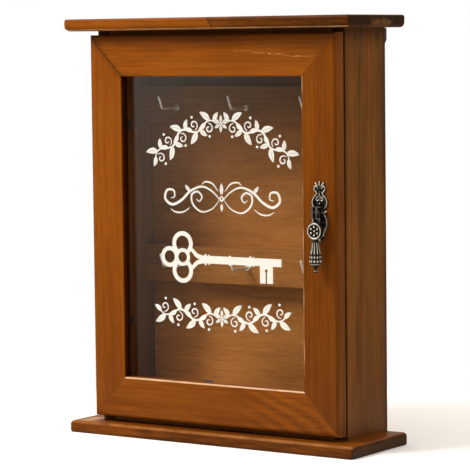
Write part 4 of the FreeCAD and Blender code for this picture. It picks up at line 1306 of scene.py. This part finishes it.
@dataclass
class Woodwork:
    """Finishes of the boards, panels, rails and door members."""

    board_end: Color = (0.40, 0.55, 1.0)
    # colour of the painted highlights on the top board's lower arris and on the base board's top
    pale: Color = (0.60, 0.34, 0.15)
    pin_y: tuple[float, float] = (-0.00375, 0.02725)
    pin_z: float = 0.3123
    top_left: tuple[tuple[float, float], tuple[float, float]] = ((-0.1145, 0.3163), (-0.0840, 0.2838))

    @staticmethod
    def scaled(g: Graph, colour: Any, factor: Any) -> Any:
        """Multiplies a colour by a value."""
        grey = g.node("ShaderNodeCombineColor", {0: factor, 1: factor, 2: factor}).outputs[0]
        return g.mix(1.0, colour, grey, "MULTIPLY")

    @staticmethod
    def window(g: Graph, value: Any, low: float, high: float, soft: float) -> Any:
        """Mask that is one between low and high, with soft ends."""
        return g.times(g.remap(value, low - soft, low), g.remap(value, high + soft, high))

    @staticmethod
    def crack(g: Graph, xyz: Any, outer: tuple[float, float], inner: tuple[float, float]) -> Any:
        """Darkness along a mitre: strongest on the line from the outer to the inner corner.

        Args:
            g: the material's graph.
            xyz: separated object coordinates.
            outer: X and Z of the outer corner.
            inner: X and Z of the inner corner.

        Returns:
            A factor for the colour, one away from the line.
        """
        run, rise = inner[0] - outer[0], inner[1] - outer[1]
        length = math.hypot(run, rise)
        across = g.plus(g.times(g.less(xyz[0], outer[0]), -rise / length),
                        g.times(g.less(xyz[2], outer[1]), run / length))
        gap = g.math("ABSOLUTE", across)
        return g.times(g.remap(gap, 0.0003, 0.0009, 0.42, 1.0), g.remap(gap, 0.0006, 0.0050, 0.82, 1.0))

    def top_marks(self, g: Graph, place: Any, colour: Any) -> Any:
        """Glued joint, darker mottled timber right of it, dark knots at the end and a painted highlight along
        the lower arris.

        Args:
            g: the material's graph.
            place: object coordinates.
            colour: the wood colour so far.

        Returns:
            The colour with the marks.
        """
        xyz = g.split(place)
        slope = g.times(g.less(xyz[2], 0.3245), -0.62)
        joint = g.less(g.less(xyz[0], 0.0082), slope)
        line = g.remap(g.math("ABSOLUTE", joint), 0.0002, 0.0013, 0.75, 0.0)
        ripple = g.noise(g.stretch(place, (60.0, 150.0, 240.0)), 1.0, 3.0, 0.6)
        mottle = g.remap(ripple, 0.35, 0.65, 0.78, 1.25)
        fall = g.times(g.remap(xyz[0], 0.0, 0.115, 0.60, 0.30), mottle)
        colour = g.mix(g.remap(joint, -0.0005, 0.0015), colour, self.scaled(g, colour, fall))
        rim = g.remap(xyz[2], 0.3262, 0.3290, 1.0, 0.62)
        colour = self.scaled(g, colour, rim)
        ragged = g.times(g.less(g.noise(place, 130.0, 3.0, 0.6), 0.5), 0.014)
        patch = g.times(self.window(g, g.plus(xyz[1], ragged), -0.004, 0.016, 0.008),
                       g.remap(g.plus(xyz[2], g.times(ragged, 0.5)), 0.3275, 0.3225))
        end = g.times(patch, g.remap(xyz[0], 0.1300, 0.1318))
        spotty = g.remap(g.noise(place, 420.0, 3.0, 0.6), 0.35, 0.65, 0.30, 1.0)
        colour = g.mix(g.times(g.times(end, spotty), 0.75), colour, (0.26, 0.105, 0.028))
        colour = g.mix(g.times(line, 1.0), colour, (0.035, 0.012, 0.003))
        # painted highlight: a broken pale line along the rounded lower front arris, where the edge catches
        # the light
        arris = g.times(self.window(g, xyz[2], 0.31985, 0.32065, 0.0004), g.remap(xyz[1], -0.0380, -0.0388))
        broken = g.remap(g.noise(g.stretch(place, (70.0, 1.0, 1.0)), 1.0, 3.0), 0.3, 0.6, 0.45, 1.0)
        return g.mix(g.times(arris, broken), colour, self.pale)

    def base_marks(self, g: Graph, place: Any, colour: Any) -> Any:
        """Base board darkening from its left end, mottled, with a painted highlight over some rubbing along
        its upper arris and a painted highlight on its top at the left.

        Args:
            g: the material's graph.
            place: object coordinates.
            colour: the colour so far.

        Returns:
            The colour with the marks.
        """
        xyz = g.split(place)
        ripple = g.noise(g.stretch(place, (50.0, 120.0, 260.0)), 1.0, 3.0, 0.6)
        mottle = g.remap(ripple, 0.35, 0.65, 0.74, 1.22)
        fall = g.times(g.remap(xyz[0], -0.13, 0.02, 0.62, 0.39), mottle)
        upper = g.remap(xyz[2], 0.0078, 0.0092)
        colour = self.scaled(g, colour, g.math("MAXIMUM", fall, g.times(upper, 0.60)))
        low = g.remap(xyz[2], 0.0008, 0.0030, 0.72, 1.0)
        colour = self.scaled(g, colour, low)
        # painted highlight along the rounded upper front arris, where the edge catches the light, over some
        # rubbing
        front = g.remap(xyz[1], -0.0345, -0.0385)
        arris = g.times(self.window(g, xyz[2], 0.0080, 0.0093, 0.0006), front)
        broken = g.remap(g.noise(g.stretch(place, (55.0, 1.0, 1.0)), 1.0, 3.0), 0.3, 0.6, 0.10, 0.50)
        colour = g.mix(g.times(arris, broken), colour, (0.42, 0.16, 0.035))
        # painted highlight: a pale patch on the top near the left end, lit from above
        spot = g.times(self.window(g, xyz[0], -0.1235, -0.1160, 0.004),
                      self.window(g, xyz[1], -0.0330, -0.0200, 0.006))
        return g.mix(g.times(spot, 0.55), colour, self.pale)

    def top_rail_marks(self, g: Graph, place: Any, colour: Any) -> Any:
        """Painted shadow of the top board's overhang as a darker upper band, and a pale broken scratch along
        the right-hand half of the door's top rail.

        Args:
            g: the material's graph.
            place: object coordinates.
            colour: the colour so far.

        Returns:
            The colour with the marks.
        """
        xyz = g.split(place)
        # painted shadow of the top board's overhang: the upper band darkens and reaches lower towards the
        # right
        wave = g.times(g.less(g.noise(g.stretch(place, (16.0, 1.0, 1.0)), 1.0, 2.0), 0.5), 0.012)
        height = g.plus(xyz[2], wave)
        reach = g.remap(xyz[0], -0.09, 0.11, 0.0, 0.005, smooth=False)
        shade = g.remap(g.plus(height, reach), 0.3020, 0.3165, 1.0, 0.60)
        colour = self.scaled(g, colour, shade)
        colour = self.scaled(g, colour, self.crack(g, xyz, self.top_left[0], self.top_left[1]))
        sag = g.times(g.less(xyz[0], 0.0600), -0.075)
        wander = g.noise(g.stretch(place, (90.0, 1.0, 1.0)), 1.0, 3.0)
        centre = g.plus(g.plus(sag, 0.3007), g.times(g.less(wander, 0.5), 0.0050))
        off = g.math("ABSOLUTE", g.less(xyz[2], centre))
        line = g.remap(off, 0.0002, 0.00080, 1.0, 0.0)
        span = g.times(g.remap(xyz[0], 0.020, 0.032), g.remap(xyz[0], 0.100, 0.080))
        dots = g.remap(g.noise(g.stretch(place, (330.0, 1.0, 600.0)), 1.0, 3.0, 0.7), 0.42, 0.64)
        mask = g.times(g.times(line, span), dots)
        colour = g.mix(g.times(mask, 0.85), colour, (0.60, 0.28, 0.095))
        wide = g.times(g.remap(off, 0.0030, 0.0055, 1.0, 0.0), self.window(g, xyz[0], 0.052, 0.088, 0.012))
        pits = g.remap(g.noise(g.stretch(place, (520.0, 1.0, 700.0)), 1.0, 2.0, 0.6), 0.60, 0.70)
        return g.mix(g.times(g.times(wide, pits), 0.45), colour, (0.060, 0.018, 0.002))

    def bottom_rail_marks(self, g: Graph, place: Any, colour: Any) -> Any:
        """Slanting flames at the right end of the bottom rail and a painted highlight along the arris under
        the glass.

        The flames are a sine of the distance across lines that fall to the right, bent by a noise.

        Args:
            g: the material's graph.
            place: object coordinates.
            colour: the colour so far.

        Returns:
            The colour with the marks.
        """
        xyz = g.split(place)
        bent = g.times(g.noise(g.stretch(place, (14.0, 1.0, 26.0)), 1.0, 1.0), 0.016)
        across = g.plus(g.plus(g.times(xyz[0], 0.42), g.times(xyz[2], 0.907)), bent)
        wave = g.math("SINE", g.times(across, 2 * math.pi / 0.0088))
        rise = g.plus(xyz[2], g.times(xyz[0], 0.25))
        zone = g.times(g.remap(xyz[0], 0.018, 0.050), g.remap(rise, 0.0640, 0.0520))
        light = g.plus(1.0, g.times(g.times(wave, zone), 0.18))
        colour = self.scaled(g, colour, light)
        # painted highlight: a broken pale line along the arris under the glass, where the edge catches the
        # light
        arris = g.times(self.window(g, xyz[2], 0.04530, 0.04612, 0.0003), g.remap(xyz[1], -0.0285, -0.0292))
        broken = g.remap(g.noise(g.stretch(place, (45.0, 1.0, 1.0)), 1.0, 3.0), 0.3, 0.55, 0.45, 0.95)
        return g.mix(g.times(arris, broken), colour, (0.72, 0.46, 0.27))

    def right_stile_marks(self, g: Graph, place: Any, colour: Any) -> Any:
        """Painted shade that darkens the stile towards its foot and outer edge, with a painted highlight
        along the arris beside the glass.

        Args:
            g: the material's graph.
            place: object coordinates.
            colour: the colour so far.

        Returns:
            The colour with the marks.
        """
        xyz = g.split(place)
        # painted shade: darker towards the foot and towards the outer edge, as the light falls off away from
        # the key lamp
        colour = self.scaled(g, colour, g.remap(xyz[2], 0.02, 0.28, 0.70, 1.0))
        colour = self.scaled(g, colour, g.remap(xyz[0], 0.1100, 0.1138, 1.0, 0.74))
        # painted highlight: a broken pale line along the arris beside the glass
        arris = g.times(self.window(g, xyz[0], 0.0838, 0.0847, 0.0003), g.remap(xyz[1], -0.0285, -0.0292))
        broken = g.remap(g.noise(g.stretch(place, (1.0, 1.0, 30.0)), 1.0, 3.0), 0.42, 0.66, 0.0, 0.9)
        return g.mix(g.times(arris, broken), colour, (0.72, 0.46, 0.27))

    def left_stile_marks(self, g: Graph, place: Any, colour: Any) -> Any:
        """Stile darker along its outer edge, with painted shade in the glass rebate and towards its foot, and
        a dark line along the mitre.

        Args:
            g: the material's graph.
            place: object coordinates.
            colour: the colour so far.

        Returns:
            The colour with the marks.
        """
        xyz = g.split(place)
        colour = self.scaled(g, colour, g.remap(xyz[0], -0.1140, -0.1118, 0.62, 1.0))
        # painted shade in the glass rebate, on the inner edge beside the glass
        deep = g.times(g.remap(xyz[0], -0.0850, -0.0843), g.remap(xyz[1], -0.0276, -0.0258))
        colour = self.scaled(g, colour, g.less(1.0, g.times(deep, 0.72)))
        colour = self.scaled(g, colour, self.crack(g, xyz, self.top_left[0], self.top_left[1]))
        # painted shade: darker towards the foot
        return self.scaled(g, colour, g.remap(xyz[2], 0.01, 0.24, 0.72, 1.0))

    def side_marks(self, g: Graph, place: Any, colour: Any) -> Any:
        """Dark band along a side panel's wall edge, reddish and olive streaks, painted shade by the door gap
        and towards the foot, a painted shadow under the top board, painted light on the inner face, and dark
        marks round the pins.

        Args:
            g: the material's graph.
            place: object coordinates.
            colour: the colour so far.

        Returns:
            The colour with the marks.
        """
        xyz = g.split(place)
        hue = g.noise(g.stretch(place, (1.0, 210.0, 5.0)), 1.0, 2.0, 0.5)
        warm = g.mix(1.0, colour, (1.10, 0.97, 0.90), "MULTIPLY")
        olive = g.mix(1.0, colour, (0.93, 1.01, 1.00), "MULTIPLY")
        colour = g.mix(g.remap(hue, 0.38, 0.62), olive, warm)
        colour = self.scaled(g, colour, g.remap(xyz[1], 0.0345, 0.0395, 1.0, 0.45))
        # painted shade along the front edge, beside the gap by the door
        colour = self.scaled(g, colour, g.remap(xyz[1], -0.0178, -0.0160, 0.55, 1.0))
        # painted light: the inner face is lightened and greyed where light through the glass reaches it
        within = g.remap(g.math("ABSOLUTE", xyz[0]), 0.1036, 0.1032)
        colour = g.mix(g.times(within, 0.30), colour, (0.42, 0.235, 0.115))
        # painted shade towards the foot, and a painted shadow under the top board
        colour = self.scaled(g, colour, g.remap(xyz[2], 0.02, 0.17, 0.62, 1.0))
        colour = self.scaled(g, colour, g.remap(xyz[2], 0.300, 0.3195, 1.0, 0.80))
        drop = g.less(xyz[2], self.pin_z)
        for y in self.pin_y:
            aside = g.less(xyz[1], y)
            away = g.math("SQRT", g.plus(g.times(drop, drop), g.times(aside, aside)))
            colour = self.scaled(g, colour, g.remap(away, 0.0009, 0.0020, 0.16, 1.0))
        return colour

    def back_marks(self, g: Graph, place: Any, colour: Any) -> Any:
        """Painted light on the back board: it fades paler towards its foot, most of all at the left.

        Args:
            g: the material's graph.
            place: object coordinates.
            colour: the colour so far.

        Returns:
            The colour with the marks.
        """
        xyz = g.split(place)
        # painted light: the board is lightened towards its foot, most at the left
        low = g.remap(xyz[2], 0.115, 0.030)
        left = g.remap(xyz[0], 0.030, -0.075, -0.12, 1.10)
        pale = g.plus(1.0, g.times(low, left))
        return self.scaled(g, colour, pale)

    def finishes(self) -> dict[str, StainedPine]:
        """Finish of each wooden node.

        Returns:
            Node name to finish.
        """
        x, z = GrainAxis.ALONG_X, GrainAxis.ALONG_Z
        # the side panels' darker, browner stain is partly the wood's own tone and partly painted shade on the
        # sides turned away from the key lamp
        brown = {"light": (0.215, 0.078, 0.0120), "dark": (0.075, 0.022, 0.0025),
                 "cloud_tint": (0.150, 0.052, 0.0075), "figure": 1.25, "marks": self.side_marks}
        inner = {"light": (0.250, 0.095, 0.022), "dark": (0.090, 0.030, 0.005),
                 "cloud_tint": (0.18, 0.066, 0.013), "figure": 0.55}
        return {
            "base_board": StainedPine("pine_base_board", x, pith=(0.07, -0.045), wobble=0.014,
                                      shift=(0.31, 0, 0), side_tint=self.board_end,
                                      marks=self.base_marks),
            "top_board": StainedPine("pine_top_board", x, pith=(0.05, 0.250), wobble=0.012,
                                     side_tint=self.board_end, marks=self.top_marks),
            "left_side_panel": StainedPine("pine_left_panel", z, pith=(0.05, -0.15),
                                           shift=(0, 0, 0.5), **brown),
            "right_side_panel": StainedPine("pine_right_panel", z, pith=(0.03, 0.16),
                                            spacing=0.0042, **brown),
            "carcass_top_panel": StainedPine("pine_top_panel", x, pith=(0.06, 0.27), **inner),
            "carcass_bottom_panel": StainedPine("pine_bottom_panel", x, pith=(-0.05, -0.06), **inner),
            "upper_hook_rail": StainedPine("pine_upper_hook_rail", x, pith=(0.09, 0.20),
                                           shift=(0.7, 0, 0), tone=1.35, **inner),
            "lower_hook_rail": StainedPine("pine_lower_hook_rail", x, pith=(0.09, 0.20),
                                           shift=(0.2, 0, 0), tone=1.5, **inner),
            "back_panel": StainedPine("stained_plywood_back", x, pith=(0.30, 0.18), spacing=0.011,
                                      wobble=0.07, roughness=0.5, shift=(0.4, 0, 0), tone=1.85,
                                      marks=self.back_marks, **inner),
            # the left stile's dark side tint is painted shade on its inner edge beside the glass
            "door_left_stile": StainedPine("pine_left_stile", z, pith=(0.05, 0.24), wobble=0.006,
                                           spacing=0.0024, figure=0.8, side_tint=(0.30, 0.22, 0.30),
                                           marks=self.left_stile_marks),
            # the right stile's lower tone is painted shade, from the light falling off away from the key lamp
            # at the upper left
            "door_right_stile": StainedPine("pine_right_stile", z, pith=(0.045, -0.20), wobble=0.010,
                                            figure=0.7, shift=(0, 0, 0.3), tone=0.77,
                                            side_tint=(1.30, 1.40, 2.3), marks=self.right_stile_marks),
            "door_top_rail": StainedPine("pine_top_rail", x, pith=(0.02, 0.37), wobble=0.016,
                                         figure=0.8, marks=self.top_rail_marks),
            # the bottom rail's lower tone is painted shade, from the light falling off away from the key lamp
            # at the upper left
            "door_bottom_rail": StainedPine("pine_bottom_rail", x, pith=(0.01, -0.035), wobble=0.016,
                                            figure=0.8, spacing=0.0040, shift=(0.9, 0, 0), tone=0.70,
                                            marks=self.bottom_rail_marks),
        }

    def build(self) -> None:
        """Dresses every wooden node."""
        for node, finish in self.finishes().items():
            dress(node, finish.material())


@dataclass
class Fittings:
    """Finishes of the metal and plastic fittings that keep their CAD shape."""

    def build(self) -> None:
        """Dresses every fitting."""
        hook = Metal("nickelled_hook", (0.93, 0.89, 0.80), (0.97, 0.95, 0.90), 0.34, metallic=0.6,
                     dull=(0.55, 0.48, 0.36), dulling=0.45).material()
        steel = Metal("plain_steel", (0.40, 0.40, 0.39), (0.75, 0.75, 0.73), 0.38,
                      dull=(0.16, 0.14, 0.12)).material()
        clip = Metal("browned_clips", (0.17, 0.15, 0.13), (0.42, 0.38, 0.32), 0.45,
                     dull=(0.08, 0.06, 0.05)).material()
        nail = Metal("dark_pin_heads", (0.008, 0.006, 0.005), (0.03, 0.02, 0.015), 0.6, metallic=0.0,
                     dull=(0.004, 0.003, 0.003)).material()
        zinc = Metal("zinc_screws", (0.60, 0.60, 0.58), (0.85, 0.85, 0.83), 0.34,
                     dull=(0.32, 0.31, 0.28)).material()
        brass = Metal("brassed_hinge", (0.62, 0.42, 0.16), (0.90, 0.74, 0.42), 0.32,
                      dull=(0.22, 0.14, 0.05)).material()
        black = Metal("black_lacquer", (0.012, 0.012, 0.012), (0.20, 0.19, 0.18), 0.42, metallic=0.0,
                      wear_and_sheen=0.35, dull=(0.006, 0.006, 0.006)).material()
        bronze = Metal("antique_bronze_cast", (0.016, 0.013, 0.011), (0.86, 0.80, 0.70), 0.34,
                       wear_radius=0.0008, wear_and_sheen=0.95, dull=(0.008, 0.006, 0.005)).material()
        plastic = Speckled("brown_catch_plastic", (0.105, 0.050, 0.022), (0.070, 0.032, 0.014)).material()
        ferrite = Speckled("grey_ferrite", (0.045, 0.045, 0.047), (0.085, 0.085, 0.088)).material()
        groups = (
            (hook, [f"{row}_key_hook_{i}" for row in ("upper", "lower") for i in (1, 2, 3)]),
            (steel, ["catch_pole_plates", "strike_plate", "strike_plate_screw", "catch_screws"]),
            (clip, ["glass_clips", "glass_clip_screws"]),
            (nail, ["side_panel_pins", "back_panel_pins"]),
            (zinc, ["base_board_screws", "top_board_screws", "hook_rail_screws", "pull_washer", "pull_nut"]),
            (brass, ["upper_hinge_cabinet_leaf", "lower_hinge_cabinet_leaf", "upper_hinge_door_leaf",
                     "lower_hinge_door_leaf", "hinge_pins", "hinge_cabinet_screws", "hinge_door_screws"]),
            (black, ["left_hanger_plate", "right_hanger_plate", "hanger_plate_screws"]),
            (bronze, ["pull_plate_pins", "pull_post", "pull_pivot_pin"]),
            (plastic, ["catch_housing"]),
            (ferrite, ["catch_magnet"]),
        )
        for material, nodes in groups:
            for node in nodes:
                dress(node, material)


def dress(node: str, material: bpy.types.Material) -> None:
    """Gives a CAD node one finish.

    Args:
        node: the node's name.
        material: its finish.
    """
    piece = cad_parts[node]
    if not piece.data.materials:
        piece.data.materials.append(material)
    for index in range(len(piece.material_slots)):
        piece.material_slots[index].material = material
    LOG.info("%s: finish %s", node, material.name)


@dataclass
class Studio:
    """Pale floor, soft lights and the camera."""

    camera_place: tuple[float, float, float] = (1.07279, -1.56973, 0.30973)
    yaw: float = 34.2943
    pitch: float = 4.5086
    roll: float = 0.6405
    lens: float = 187.44
    floor_radius: float = 0.31
    room_dim: float = 0.38
    room_bright: float = 1.0

    def floor(self) -> None:
        """Round pale floor with a faint mottling."""
        turn = np.linspace(0, 2 * np.pi, 96, endpoint=False)
        rim = self.floor_radius * np.stack([np.cos(turn), np.sin(turn), 0 * turn], 1)
        mesh = bpy.data.meshes.new("studio_floor")
        mesh.from_pydata(rim.tolist(), [], [tuple(range(96))])
        piece = bpy.data.objects.new("studio_floor", mesh)
        bpy.context.scene.collection.objects.link(piece)
        material, g, shader, _ = new_material("pale_floor")
        place = g.node("ShaderNodeTexCoord").outputs["Object"]
        pale = g.mix(g.noise(place, 6.0, 2.0), (0.95, 0.95, 0.945), (0.97, 0.97, 0.965))
        g.feed(shader.inputs["Base Color"], pale)
        shader.inputs["Roughness"].default_value = 0.9
        shader.inputs["Specular IOR Level"].default_value = 0.1
        mesh.materials.append(material)

    def lamp(self, name: str, place: Sequence[float], aim: Sequence[float], size: float, watts: float,
             colour: Color = (1.0, 1.0, 1.0)) -> None:
        """Square soft lamp pointing at a place.

        Args:
            name: the lamp's name.
            place: where it stands.
            aim: what it points at.
            size: length of its side.
            watts: its power.
            colour: its tint.
        """
        data = bpy.data.lights.new(name, "AREA")
        data.shape, data.size, data.energy, data.color = "SQUARE", size, watts, colour
        lamp = bpy.data.objects.new(name, data)
        back = Matrix.Translation(place).to_translation() - Matrix.Translation(aim).to_translation()
        lamp.rotation_mode = "QUATERNION"
        lamp.rotation_quaternion = back.to_track_quat("Z", "Y")
        lamp.location = place
        bpy.context.scene.collection.objects.link(lamp)

    def lights(self) -> None:
        """Soft key lamp at the upper left front, an overhead lamp, and a room brighter towards the left."""
        self.lamp("key_lamp", (-0.48, -0.60, 1.08), (-0.02, 0, 0.20), 0.40, 12.5, (1.0, 0.97, 0.93))
        self.lamp("top_lamp", (-0.10, -0.10, 1.35), (0, 0, 0), 0.8, 4.0)
        self.lamp("side_lamp", (1.30, 0.25, 1.00), (0, 0, 0.25), 0.9, 7.2)
        world = bpy.data.worlds.new("pale_room")
        world.use_nodes = True
        world.node_tree.nodes.clear()
        g = Graph(world.node_tree)
        facing = g.node("ShaderNodeTexCoord").outputs["Generated"]
        lean = g.node("ShaderNodeVectorMath", {0: facing, 1: (-1.0, 0.0, 1.0)}, operation="DOT_PRODUCT")
        glow = g.remap(lean.outputs["Value"], 0.22, 0.95, self.room_dim, self.room_bright)
        dark_side = (-0.394, -0.903, -0.174)
        shade = g.node("ShaderNodeVectorMath", {0: facing, 1: dark_side}, operation="DOT_PRODUCT")
        glow = g.times(glow, g.remap(shade.outputs["Value"], 0.955, 0.988, 1.0, 0.08))
        seen = g.node("ShaderNodeLightPath").outputs["Is Camera Ray"]
        power = g.math("MAXIMUM", glow, seen)
        tint = g.mix(seen, (1.0, 0.93, 0.82), (1.0, 1.0, 1.0))
        background = g.node("ShaderNodeBackground", {"Color": tint, "Strength": power})
        g.node("ShaderNodeOutputWorld", {"Surface": background.outputs[0]})
        bpy.context.scene.world = world

    def camera(self) -> None:
        """Long lens, turned to the left, tipped slightly down and rolled a little."""
        data = bpy.data.cameras.new("camera")
        data.lens, data.sensor_width = self.lens, 36.0
        data.clip_start, data.clip_end = 0.05, 50.0
        camera = bpy.data.objects.new("camera", data)
        bpy.context.scene.collection.objects.link(camera)
        turn = (Matrix.Rotation(math.radians(self.yaw), 4, "Z")
                @ Matrix.Rotation(math.radians(90.0 - self.pitch), 4, "X")
                @ Matrix.Rotation(math.radians(-self.roll), 4, "Z"))
        camera.rotation_mode = "QUATERNION"
        camera.rotation_quaternion = turn.to_quaternion()
        camera.location = self.camera_place
        bpy.context.scene.camera = camera

    def build(self) -> None:
        """Sets the stage."""
        self.camera()
        self.floor()
        self.lights()
        bpy.context.scene.view_settings.view_transform = "Standard"


def main() -> None:
    """Builds the stage, dresses the CAD nodes and makes the new pieces."""
    logging.basicConfig(level=logging.INFO, format="%(name)s: %(message)s")
    Studio().build()
    Woodwork().build()
    Fittings().build()
    for piece in DropPull().build() + GlassPane().build() + GlassOrnament().build():
        LOG.info("piece ready: %s", piece.name)


if __name__ == "__main__":
    main()
